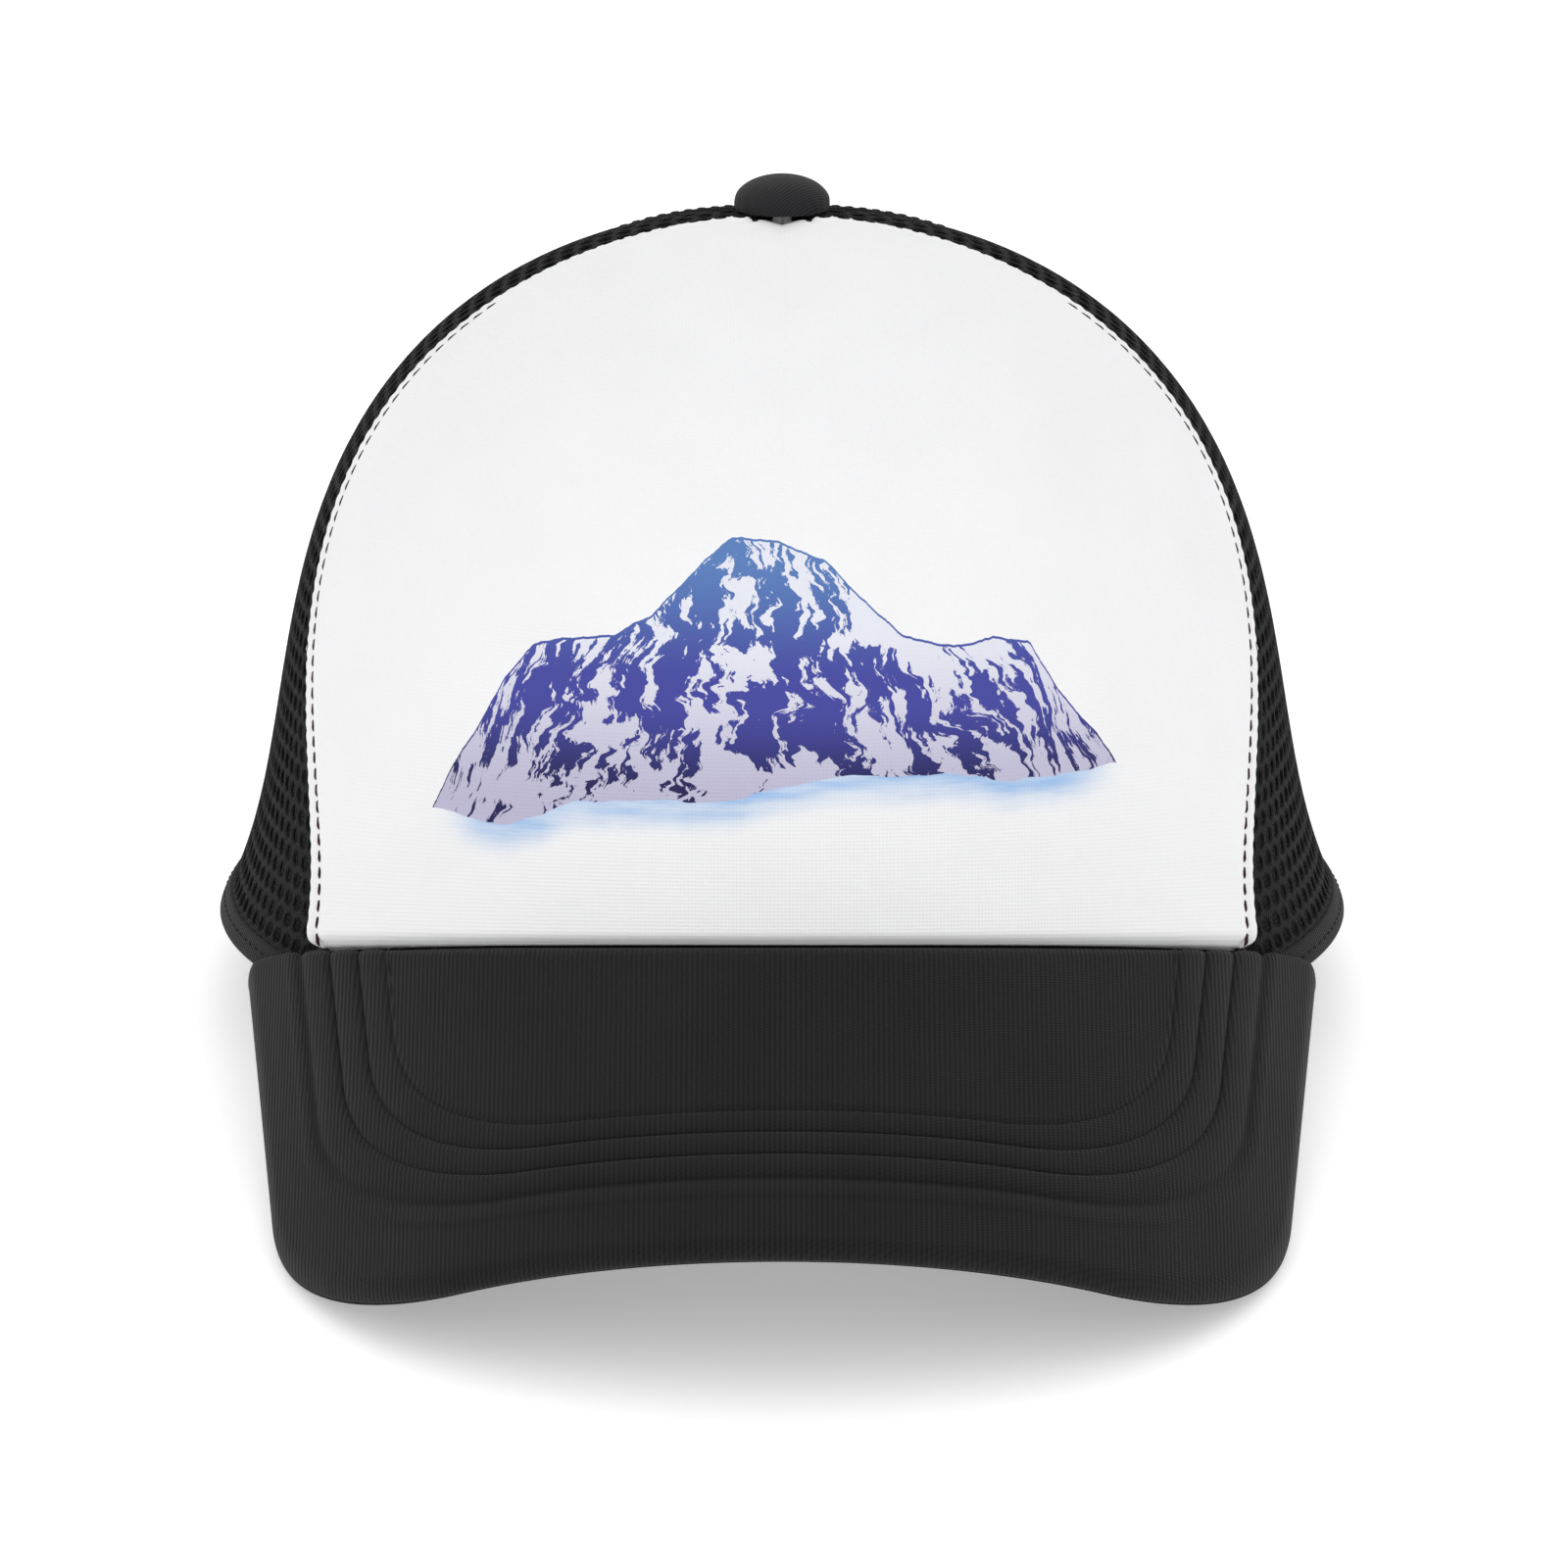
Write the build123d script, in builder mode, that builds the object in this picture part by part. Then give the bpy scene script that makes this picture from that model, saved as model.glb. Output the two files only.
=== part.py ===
"""Trucker cap: foam front panel, mesh sides and back, curved brim, top button and a snap strap.

The cap is drawn in its own crown frame: Z runs up through the button, the brim points to -Y and
Z = 0 is the rim at the sides and back. At the end every piece is tipped back and lifted together,
so that the cap stands on a table (the plane z = 0) on its two brim corners and its back rim.
All sizes are in millimetres.
"""
import os
from math import asin, atan2, cos, degrees, radians, sin

from build123d import *

os.makedirs("parts", exist_ok=True)

# ---------------------------------------------------------------- driving dimensions
# Crown: half widths and lengths are taken on the outside at the rim.
crown_height = 120.0
crown_half_width = 84.4
crown_front_length = 97.0
crown_back_length = 99.0
rim_flare = 0.124            # share by which the sides spread out at the rim
flare_power = 6.0            # how quickly the flare dies away going up
rise_power = 3.3             # roundness of the crown going up
side_power = 0.505           # how the sides, front and back close in towards the button
front_power = 0.42
back_power = 0.73

# Cloth thicknesses
face_thickness = 0.8
foam_thickness = 3.0
mesh_thickness = 1.2
lining_gap = 0.6             # between the mesh and the sweatband
sweatband_thickness = 1.2
sweatband_width = 32.0
tape_thickness = 0.7
tape_width = 10.0
trim_gap = 0.3               # between cut ends of trim that meet
inset_fade = 8.0             # a layer thins out where the crown is under this many insets wide

# Panels
back_panel_angle = 50.0      # each back panel spans this much either side of the centre back
front_seam = [(-0.52, -0.02), (-0.44, 0.225), (-0.25, 0.5), (-0.085, 0.77), (-0.03, 1.0)]

# Rim: where it starts to rise towards the brim's root, and a point half way, as shares
rim_rise_start = 0.56
rim_rise_middle = (0.78, 0.42)

# Arch over the strap
arch_width = 80.0
arch_height = 52.0
binding_width = 8.0
binding_proud = 0.5          # how far the binding stands out on each side of the mesh
arch_start = 20.0            # how far behind the crown's middle the way through begins

# Brim: a flat board bent round a cylinder whose axis slopes down to the front
brim_slope = 32.5
brim_bend_radius = 103.0
brim_seam_height = 20.0
brim_length = 62.7
brim_corner_length = 50.6
brim_half_width = 78.7
brim_tip_half_width = 88.3
brim_tip_length = 45.0
brim_corner_radius = 44.0
brim_cloth = 0.8
brim_board_thickness = 2.0
brim_edge_margin = 1.2       # from the board's edge to the outside of the cover
brim_stop_depth = 15.0       # how far below the rim the brim is still trimmed to the crown

# Button
button_diameter = 15.8
button_height = 5.5
button_shoulder = 0.2        # share of its height where the button's side is upright
button_cloth = 0.6
button_metal = 0.5
button_gap = 0.1             # from the crown's top to the button
rivet_radius = 1.6
rivet_clearance = 0.3
washer_radius = 6.5
washer_thickness = 1.2
washer_gap = 1.6             # from the foam's underside down to the washer
washer_clearance = 1.0

# Snap strap
strap_width = 16.0
strap_thickness = 1.2
strap_bottom = 2.5
strap_back_gap = 5.6         # from the back rim in to the outer strap
strap_layer_gap = 0.3
strap_hinge_x = 37.5
strap_pitch = 7.4
strap_first_step = -2        # snaps run from this many steps past the centre to the last step
strap_last_step = 4
strap_end_margin = 4.6       # from the last snap to the strap's end
strap_end_radius = 6.5
snap_hole_radius = 2.3
peg_base_radius = 1.9
peg_top_radius = 1.1
peg_height = 2.4
peg_sink = 0.4               # how far each peg's root runs into the strap
strap_root_length = 12.0

reach = 300.0                # larger than the cap, for the shapes that cut pieces
base_down = (Align.CENTER, Align.CENTER, Align.MIN)
edge_samples = 20            # points tried along each brim edge when the cap is stood up


# ---------------------------------------------------------------- crown surfaces
def crown_axes(share):
    """Half width, front length and back length of the crown at a share of its height."""
    closing = 1 - share**rise_power
    spread = 1 + rim_flare * (1 - share) ** flare_power
    return (
        crown_half_width * closing**side_power * spread,
        crown_front_length * closing**front_power,
        crown_back_length * closing**back_power,
    )


def dome(side_inset, front_inset, back_inset, top_inset):
    """A solid dome inside the crown's outer surface by the given insets."""
    shares = [0, 0.08, 0.17, 0.28, 0.42, 0.56, 0.69, 0.79, 0.87, 0.93, 0.968, 0.988, 0.998]
    heights = [share * (crown_height - top_inset) for share in shares]
    sizes = [crown_axes(share) for share in shares]
    with BuildPart() as solid:
        for height, (side, front, back) in zip(heights, sizes):
            shrink = min(1.0, side / (inset_fade * max(side_inset, front_inset, 0.01)))
            with BuildSketch(Plane.XY.offset(height)):
                with BuildLine():
                    width = side - side_inset * shrink
                    EllipticalCenterArc((0, 0), width, back - back_inset * shrink, 0, arc_size=180)
                    EllipticalCenterArc((0, 0), width, front - front_inset * shrink, 180, arc_size=180)
                make_face()
        loft()
    return solid.part


inner_inset = mesh_thickness + lining_gap
front_inset = face_thickness + foam_thickness
band_inset = inner_inset + sweatband_thickness
outer_dome = dome(0, 0, 0, 0)
proud_dome = dome(-binding_proud, -binding_proud, -binding_proud, -binding_proud)
face_dome = dome(face_thickness, face_thickness, face_thickness, face_thickness)
mesh_dome = dome(mesh_thickness, mesh_thickness, mesh_thickness, mesh_thickness)
binding_dome = dome(*[mesh_thickness + binding_proud] * 4)
lining_dome = dome(inner_inset, front_inset, inner_inset, front_inset)
tape_dome = dome(*[value + tape_thickness for value in (inner_inset, front_inset)] * 2)
band_dome = dome(
    band_inset, front_inset + sweatband_thickness, band_inset, front_inset + sweatband_thickness
)

with BuildPart() as brim_stop:
    add(outer_dome)
    extrude(brim_stop.faces().sort_by(Axis.Z)[0], amount=brim_stop_depth)

# ---------------------------------------------------------------- brim surfaces
slope = radians(brim_slope)
brim_root = (0, -crown_front_length, brim_seam_height)
brim_forward = (0, -cos(slope), -sin(slope))
brim_up = (0, -sin(slope), cos(slope))
brim_profile = Plane(origin=brim_root, x_dir=(1, 0, 0), z_dir=brim_forward)
brim_plan = Plane(origin=brim_root, x_dir=(1, 0, 0), z_dir=brim_up)
brim_thickness = 2 * brim_cloth + brim_board_thickness


def brim_layer(top, bottom, margin):
    """The bent brim between two depths below its top surface, inside its outline by a margin."""
    with BuildPart() as layer:
        with BuildSketch(brim_profile):
            with Locations((0, -brim_bend_radius)):
                Circle(brim_bend_radius - top)
                Circle(brim_bend_radius - bottom, mode=Mode.SUBTRACT)
            Rectangle(2 * reach, brim_bend_radius, align=(Align.CENTER, Align.MAX), mode=Mode.INTERSECT)
        extrude(amount=reach, both=True)
        with BuildSketch(brim_plan) as outline:
            with BuildLine():
                tips = Polyline(
                    (-brim_half_width, -brim_corner_length),
                    (-brim_tip_half_width, brim_tip_length),
                    (brim_tip_half_width, brim_tip_length),
                    (brim_half_width, -brim_corner_length),
                )
                ThreePointArc(tips @ 1, (0, -brim_length), tips @ 0)
            make_face()
            fillet(outline.vertices().group_by(Axis.Y)[0], radius=brim_corner_radius)
            if margin:
                offset(amount=-margin, mode=Mode.REPLACE)
        extrude(amount=reach, both=True, mode=Mode.INTERSECT)
        add(brim_stop.part, mode=Mode.SUBTRACT)
    return layer.part


# ---------------------------------------------------------------- shapes that divide the crown
seam_points = [(along * crown_front_length, up * crown_height) for along, up in front_seam]


def seam_region(shift):
    """Everything in front of the front panel's seam, with the seam moved back by a shift."""
    points = [(along + shift, up) for along, up in seam_points]
    with BuildPart() as region:
        with BuildSketch(Plane.YZ):
            with BuildLine():
                seam = Spline(*points)
                Polyline(
                    seam @ 1,
                    (points[-1][0], reach),
                    (-reach, reach),
                    (-reach, -reach),
                    (points[0][0], -reach),
                    seam @ 0,
                )
            make_face()
        extrude(amount=reach, both=True)
    return region.part


front_region = seam_region(0)

with BuildPart() as back_region:
    wedge_x = reach * sin(radians(back_panel_angle))
    wedge_y = reach * cos(radians(back_panel_angle))
    with BuildSketch(Plane.XY.offset(-reach)):
        with BuildLine():
            Polyline(
                (0, 0), (wedge_x, wedge_y), (wedge_x, reach), (-wedge_x, reach), (-wedge_x, wedge_y),
                close=True,
            )
        make_face()
    extrude(amount=2 * reach)

with BuildPart() as right_half:
    Box(reach, 2 * reach, 2 * reach, align=(Align.MIN, Align.CENTER, Align.CENTER))

with BuildPart() as rivet_hole:
    with Locations((0, 0, crown_height)):
        Cylinder(rivet_radius + rivet_clearance, reach)

with BuildPart() as washer_room:
    with Locations((0, 0, crown_height)):
        Cylinder(washer_radius + washer_clearance, reach)


def arch_region(margin):
    """The way through the back under the arch, made wider all round by a margin."""
    half = arch_width / 2 + margin
    with BuildPart() as region:
        with BuildSketch(Plane.XZ.offset(-arch_start)):
            with Locations((0, arch_height - arch_width / 2)):
                Circle(half)
                Rectangle(2 * half, reach, align=(Align.CENTER, Align.MAX))
        extrude(amount=-reach)
    return region.part


arch = arch_region(0)
arch_with_binding = arch_region(binding_width)


def rim_region(height):
    """Everything below a line that follows the rim at a height above it: the rim is flat at the
    sides and back, and rises over the brim in front."""
    front = height + brim_seam_height - brim_thickness / cos(slope)
    along, up = rim_rise_middle
    with BuildPart() as region:
        with BuildSketch(Plane.YZ):
            with BuildLine():
                flat = Line((reach, height), (-rim_rise_start * crown_front_length, height))
                middle = (-along * crown_front_length, height + up * (front - height))
                rise = ThreePointArc(flat @ 1, middle, (-crown_front_length, front))
                ends = ((-reach, front), (-reach, -reach), (reach, -reach))
                Polyline(rise @ 1, *ends, flat @ 0)
            make_face()
        extrude(amount=reach, both=True)
    return region.part


under_rim = rim_region(0)


# ---------------------------------------------------------------- front panel
with BuildPart() as front_panel_face:
    add(outer_dome)
    add(face_dome, mode=Mode.SUBTRACT)
    add(front_region, mode=Mode.INTERSECT)
    add(under_rim, mode=Mode.SUBTRACT)
    add(rivet_hole.part, mode=Mode.SUBTRACT)

with BuildPart() as front_panel_foam:
    add(face_dome)
    add(lining_dome, mode=Mode.SUBTRACT)
    add(front_region, mode=Mode.INTERSECT)
    add(under_rim, mode=Mode.SUBTRACT)
    add(rivet_hole.part, mode=Mode.SUBTRACT)

# ---------------------------------------------------------------- mesh panels
with BuildPart() as side_mesh_right:
    add(outer_dome)
    add(mesh_dome, mode=Mode.SUBTRACT)
    add(right_half.part, mode=Mode.INTERSECT)
    add(front_region, mode=Mode.SUBTRACT)
    add(back_region.part, mode=Mode.SUBTRACT)
    add(under_rim, mode=Mode.SUBTRACT)
    add(rivet_hole.part, mode=Mode.SUBTRACT)

with BuildPart() as side_mesh_left:
    mirror(side_mesh_right.part, about=Plane.YZ)

with BuildPart() as back_mesh_right:
    add(outer_dome)
    add(mesh_dome, mode=Mode.SUBTRACT)
    add(right_half.part, mode=Mode.INTERSECT)
    add(back_region.part, mode=Mode.INTERSECT)
    add(arch_with_binding, mode=Mode.SUBTRACT)
    add(rivet_hole.part, mode=Mode.SUBTRACT)

with BuildPart() as back_mesh_left:
    mirror(back_mesh_right.part, about=Plane.YZ)

# ---------------------------------------------------------------- binding, sweatband and tapes
with BuildPart() as arch_binding:
    add(proud_dome)
    add(binding_dome, mode=Mode.SUBTRACT)
    add(arch_with_binding, mode=Mode.INTERSECT)
    add(arch, mode=Mode.SUBTRACT)

with BuildPart() as sweatband:
    add(lining_dome)
    add(band_dome, mode=Mode.SUBTRACT)
    add(rim_region(sweatband_width), mode=Mode.INTERSECT)
    add(under_rim, mode=Mode.SUBTRACT)
    add(arch, mode=Mode.SUBTRACT)

with BuildPart() as tape_layer:
    add(lining_dome)
    add(tape_dome, mode=Mode.SUBTRACT)
    add(rim_region(sweatband_width + trim_gap), mode=Mode.SUBTRACT)
    add(washer_room.part, mode=Mode.SUBTRACT)

front_tape_zone = seam_region(tape_width / 2) - seam_region(-tape_width / 2)

with BuildPart() as front_seam_tape_right:
    add(tape_layer.part)
    add(front_tape_zone, mode=Mode.INTERSECT)
    add(right_half.part, mode=Mode.INTERSECT)

with BuildPart() as front_seam_tape_left:
    mirror(front_seam_tape_right.part, about=Plane.YZ)

with BuildPart() as side_seam_tape_right:
    add(tape_layer.part)
    with BuildSketch(Plane.XY.offset(-reach)):
        with Locations(Location((0, 0, 0), (0, 0, 90 - back_panel_angle))):
            Rectangle(reach, tape_width, align=(Align.MIN, Align.CENTER))
    extrude(amount=2 * reach, mode=Mode.INTERSECT)
    add(seam_region(tape_width / 2 + trim_gap), mode=Mode.SUBTRACT)
    Box(tape_width + 2 * trim_gap, reach, 2 * reach, mode=Mode.SUBTRACT)

with BuildPart() as side_seam_tape_left:
    mirror(side_seam_tape_right.part, about=Plane.YZ)

with BuildPart() as back_seam_tape:
    add(tape_layer.part)
    with BuildSketch(Plane.XY.offset(-reach)):
        Rectangle(tape_width, reach, align=(Align.CENTER, Align.MIN))
    extrude(amount=2 * reach, mode=Mode.INTERSECT)
    add(arch_region(binding_width + trim_gap), mode=Mode.SUBTRACT)

# ---------------------------------------------------------------- brim
board_top = brim_cloth
board_bottom = brim_cloth + brim_board_thickness

with BuildPart() as brim_board:
    add(brim_layer(board_top, board_bottom, brim_edge_margin))

with BuildPart() as brim_top_cover:
    add(brim_layer(0, board_bottom, 0))
    add(brim_board.part, mode=Mode.SUBTRACT)

with BuildPart() as brim_under_cover:
    add(brim_layer(board_bottom, brim_thickness, 0))

# ---------------------------------------------------------------- button
button_radius = button_diameter / 2
button_base = crown_height + button_gap
metal_top = button_height - button_cloth
metal_radius = button_radius - button_cloth
cup_top = metal_top - button_metal
cup_radius = metal_radius - button_metal


def button_layer(radius, height, inner_radius, inner_height):
    """A low dome over the button's middle, hollow from below."""
    with BuildPart() as layer:
        with BuildSketch(Plane.XZ):
            with BuildLine():
                curves = []
                for size, top in ((radius, height), (inner_radius, inner_height)):
                    shoulder = (size, button_shoulder * top)
                    curves.append(Spline(shoulder, (0, top), tangents=[(0, 1), (-1, 0)]))
                outside, inside = curves
                Line(outside @ 1, inside @ 1)
                Polyline(inside @ 0, (inner_radius, 0), (radius, 0), outside @ 0)
            make_face()
        revolve(axis=Axis.Z)
    return layer.part.moved(Location((0, 0, button_base)))


with BuildPart() as button_cover:
    add(button_layer(button_radius, button_height, metal_radius, metal_top))

with BuildPart() as button_shell:
    add(button_layer(metal_radius, metal_top, cup_radius, cup_top))

washer_top = crown_height - front_inset - washer_gap

with BuildPart() as button_rivet:
    with Locations((0, 0, washer_top - washer_thickness)):
        Cylinder(washer_radius, washer_thickness, align=base_down)
    with Locations((0, 0, washer_top)):
        shank = button_base + cup_top - rivet_clearance - washer_top
        Cylinder(rivet_radius, shank, align=base_down)

# ---------------------------------------------------------------- snap strap
rim_width = crown_axes(0)[0]
strap_bend = rim_width**2 / crown_back_length      # radius of the back rim's curve
strap_centre_y = crown_back_length - strap_bend
hole_strap_outside = strap_bend - strap_back_gap
hole_strap_inside = hole_strap_outside - strap_thickness
peg_strap_outside = hole_strap_inside - strap_layer_gap
peg_strap_inside = peg_strap_outside - strap_thickness
strap_middle = strap_bottom + strap_width / 2
step_angle = degrees(strap_pitch / hole_strap_inside)
hinge_radius = (hole_strap_outside + hole_strap_inside) / 2
hinge_angle = degrees(asin(strap_hinge_x / hinge_radius))
tip_angle = -strap_first_step * step_angle + degrees(strap_end_margin / hole_strap_inside)
root_angle = degrees(strap_root_length / hole_strap_inside)
root_gap_angle = degrees((strap_thickness / 2 + trim_gap) / hole_strap_inside)


def strap_point(angle, radius, height=0.0):
    """A point on the back curve: the angle is from straight back, positive to the right."""
    turn = radians(angle)
    return (radius * sin(turn), strap_centre_y + radius * cos(turn), height)


def strap_arc(outside, inside, first, last):
    """A curved upright strip between two radii and two angles, as wide as the strap."""
    with BuildPart() as strip:
        with BuildSketch(Plane.XY.offset(strap_bottom)):
            with BuildLine():
                middle = (first + last) / 2
                outer = ThreePointArc(
                    strap_point(first, outside), strap_point(middle, outside), strap_point(last, outside)
                )
                inner = ThreePointArc(
                    strap_point(last, inside), strap_point(middle, inside), strap_point(first, inside)
                )
                Line(outer @ 1, inner @ 0)
                Line(inner @ 1, outer @ 0)
            make_face()
        extrude(amount=strap_width)
    return strip.part


def snap_places(radius, side):
    """Planes at the snaps of one strap, facing outwards; side is 1 for right, -1 for left."""
    places = []
    for step in range(strap_first_step, strap_last_step + 1):
        angle = side * step * step_angle
        turn = radians(angle)
        places.append(Plane(strap_point(angle, radius, strap_middle), z_dir=(sin(turn), cos(turn), 0)))
    return places


with BuildPart() as hole_strap:
    add(strap_arc(hole_strap_outside, hole_strap_inside, -hinge_angle, tip_angle))
    with Locations(*snap_places(hinge_radius, -1)):
        Cylinder(snap_hole_radius, 3 * strap_thickness, mode=Mode.SUBTRACT)
    tip_edges = hole_strap.faces().sort_by(Axis.X)[-1].edges().filter_by(Axis.Z, reverse=True)
    fillet(tip_edges, radius=strap_end_radius)

with BuildPart() as peg_strap:
    add(strap_arc(peg_strap_outside, peg_strap_inside, -tip_angle, hinge_angle))
    tip_edges = peg_strap.faces().sort_by(Axis.X)[0].edges().filter_by(Axis.Z, reverse=True)
    fillet(tip_edges, radius=strap_end_radius)
    with Locations(*snap_places(peg_strap_outside - peg_sink, 1)):
        Cone(peg_base_radius, peg_top_radius, peg_height + peg_sink, align=base_down)

root_start = hinge_angle + root_gap_angle
with BuildPart() as hole_strap_root:
    add(strap_arc(strap_bend, hole_strap_inside, -root_start - root_angle, -root_start))
    add(band_dome, mode=Mode.INTERSECT)

with BuildPart() as peg_strap_root:
    add(strap_arc(strap_bend, peg_strap_inside, root_start, root_start + root_angle))
    add(band_dome, mode=Mode.INTERSECT)

# ---------------------------------------------------------------- standing on the table
# The cap tips back about the back rim until the brim's lowest corner touches the table.
rim_contact = Vector(0, crown_back_length * cos(asin(arch_width / 2 / rim_width)), 0)
tilt = 0.0
for edge in brim_under_cover.edges():
    for step in range(edge_samples + 1):
        point = edge @ (step / edge_samples)
        tilt = max(tilt, atan2(rim_contact.Z - point.Z, rim_contact.Y - point.Y))
tipped = Location((0, 0, 0), (-degrees(tilt), 0, 0))

pieces = {
    "front_panel_face": front_panel_face,
    "front_panel_foam": front_panel_foam,
    "side_mesh_left": side_mesh_left,
    "side_mesh_right": side_mesh_right,
    "back_mesh_left": back_mesh_left,
    "back_mesh_right": back_mesh_right,
    "arch_binding": arch_binding,
    "sweatband": sweatband,
    "front_seam_tape_left": front_seam_tape_left,
    "front_seam_tape_right": front_seam_tape_right,
    "side_seam_tape_left": side_seam_tape_left,
    "side_seam_tape_right": side_seam_tape_right,
    "back_seam_tape": back_seam_tape,
    "brim_top_cover": brim_top_cover,
    "brim_board": brim_board,
    "brim_under_cover": brim_under_cover,
    "button_cover": button_cover,
    "button_shell": button_shell,
    "button_rivet": button_rivet,
    "hole_strap": hole_strap,
    "hole_strap_root": hole_strap_root,
    "peg_strap": peg_strap,
    "peg_strap_root": peg_strap_root,
}
lowest = min((tipped * piece.part).bounding_box().min.Z for piece in pieces.values())
rest = Location((0, 0, -lowest)) * tipped
for name, piece in pieces.items():
    piece.part = rest * piece.part
    piece.part.label = name
    export_step(piece.part, f"parts/{name}.step")

for name, side in (("hole_strap", -1), ("peg_strap", 1)):
    hinge = (rest * Location(strap_point(side * hinge_angle, hinge_radius, strap_middle))).position
    print(name, "hinge at", [round(value, 3) for value in hinge])
print("tilt", round(degrees(tilt), 3), "lift", round(-lowest, 3))
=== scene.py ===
# %% [markdown]
# # A trucker cap
# The cap stands on a table on its two brim corners and its back rim. A white foam-backed panel
# with a printed mountain makes the front, four gores of black net make the sides and back, and
# a ribbed brim, a cloth button, inside tapes, a sweatband and a snap strap finish it.
# The sizes are the CAD model's. Only the seam beside the front panel differs, as it runs up to
# 5 mm further forward here near the button. This script loads the CAD model as a fixed frame
# and puts a detailed piece in the place of each soft solid.

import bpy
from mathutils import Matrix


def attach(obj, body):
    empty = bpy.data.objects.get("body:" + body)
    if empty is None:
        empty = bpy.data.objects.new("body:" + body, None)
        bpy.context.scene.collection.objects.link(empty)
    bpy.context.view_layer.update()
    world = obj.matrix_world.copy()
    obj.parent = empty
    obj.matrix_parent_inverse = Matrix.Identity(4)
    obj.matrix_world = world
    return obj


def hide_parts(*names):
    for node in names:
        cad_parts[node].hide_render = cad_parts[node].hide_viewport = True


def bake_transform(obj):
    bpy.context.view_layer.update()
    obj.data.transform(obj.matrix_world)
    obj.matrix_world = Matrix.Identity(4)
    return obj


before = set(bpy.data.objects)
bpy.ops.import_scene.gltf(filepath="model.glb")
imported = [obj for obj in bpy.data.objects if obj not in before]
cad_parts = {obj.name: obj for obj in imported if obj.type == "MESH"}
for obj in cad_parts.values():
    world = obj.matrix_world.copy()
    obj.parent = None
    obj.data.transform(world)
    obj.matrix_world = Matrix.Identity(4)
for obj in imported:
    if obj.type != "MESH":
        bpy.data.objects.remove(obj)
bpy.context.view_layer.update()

# %% Modules and units
import math

import bmesh
import bpy
import numpy as np
from mathutils import Vector

MM = 0.001

# %% [markdown]
# ## The crown's shape
# A cap's crown is a dome sewn from flat gores. Every horizontal cut through it is close to two
# half ellipses, a front one and a back one, which shrink towards the button. The dome could be
# sculpted, or lofted through rings. Here a formula gives any point of it, because the panels,
# tapes and stitches all have to lie on the same surface, each at its own depth.
# The crown is drawn upright and is tipped on to its brim at the end, as the CAD model is.

# %% Crown sizes
CROWN_HEIGHT = 120 * MM
CROWN_HALF_WIDTH = 84.4 * MM
CROWN_FRONT = 97 * MM
CROWN_BACK = 99 * MM
RIM_FLARE, FLARE_POWER, RISE_POWER = 0.124, 6.0, 3.3
SIDE_POWER, FRONT_POWER, BACK_POWER = 0.505, 0.42, 0.73
TILT = math.radians(9.831)
LIFT = 15.422 * MM
STEP = 0.1 * MM      # how far apart two points are when a slope is measured


def crown_axes(height):
    """Half width, front length and back length of the crown at a height above the rim."""
    share = np.clip(np.asarray(height, float) / CROWN_HEIGHT, 0, 1)
    closing = np.maximum(1 - share**RISE_POWER, 1e-7)
    spread = 1 + RIM_FLARE * (1 - share) ** FLARE_POWER
    side = CROWN_HALF_WIDTH * closing**SIDE_POWER * spread
    return side, CROWN_FRONT * closing**FRONT_POWER, CROWN_BACK * closing**BACK_POWER


def crown_skin(turn, height):
    """Points of the crown; turn goes round from the middle of the front to the wearer's left."""
    side, front, back = crown_axes(height)
    length = np.where(np.cos(turn) > 0, front, back)
    points = (side * np.sin(turn), -length * np.cos(turn), height + 0 * np.asarray(turn))
    return np.stack(np.broadcast_arrays(*points), axis=-1)


def unit(vectors):
    """The same directions, each one long."""
    return vectors / np.maximum(np.linalg.norm(vectors, axis=-1, keepdims=True), 1e-12)


def run_along(points):
    """How far along a line of points each of them is."""
    steps = np.linalg.norm(np.diff(points, axis=0), axis=1)
    return np.concatenate([[0], np.cumsum(steps)])


def crown_out(turn, height):
    """The direction straight out of the crown at each point."""
    height = np.asarray(height, float)
    above = np.minimum(height + STEP, CROWN_HEIGHT)
    along = crown_skin(turn + 1e-3, height) - crown_skin(turn - 1e-3, height)
    upward = crown_skin(turn, above) - crown_skin(turn, height - STEP)
    return unit(np.cross(along, upward))


def crown_point(turn, height, out=0.0):
    """Points at a distance out of the crown's skin, or into it where out is negative."""
    out = np.asarray(out, float)[..., None]
    return crown_skin(turn, height) + crown_out(turn, height) * out


def stand(points):
    """Tips points of the upright crown on to the table."""
    x, y, z = np.moveaxis(np.asarray(points, float), -1, 0)
    tipped_y = y * math.cos(TILT) + z * math.sin(TILT)
    tipped_z = LIFT - y * math.sin(TILT) + z * math.cos(TILT)
    return np.stack([x, tipped_y, tipped_z], axis=-1)


def turn_at(x, height, rear=True):
    """Where a point x metres to the side lies round the crown, behind or in front."""
    ratio = np.clip(x / crown_axes(height)[0], -1, 1)
    return np.where(x < 0, -np.pi, np.pi) - np.arcsin(ratio) if rear else np.arcsin(ratio)


# %% [markdown]
# ## The seams
# Three kinds of seam divide the crown. The front one runs from each brim corner up and over to
# the button. A side seam parts each side gore from its back gore, and the last seam runs down
# the middle of the back to the arch.

# %% Where the seams run
SEAM_HEIGHTS = np.array([-0.02, 0.225, 0.5, 0.77, 1.0]) * CROWN_HEIGHT
SEAM_LENGTHS = np.array([-0.52, -0.44, -0.26, -0.135, -0.07]) * CROWN_FRONT
BACK_GORE = math.radians(50)
seam_curve = np.polyfit(SEAM_HEIGHTS, SEAM_LENGTHS, len(SEAM_HEIGHTS) - 1)


def front_seam_turn(height):
    """How far round the crown the front panel reaches at a height."""
    front = crown_axes(height)[1]
    return np.arccos(np.clip(-np.polyval(seam_curve, height) / front, -1, 1))


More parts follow.
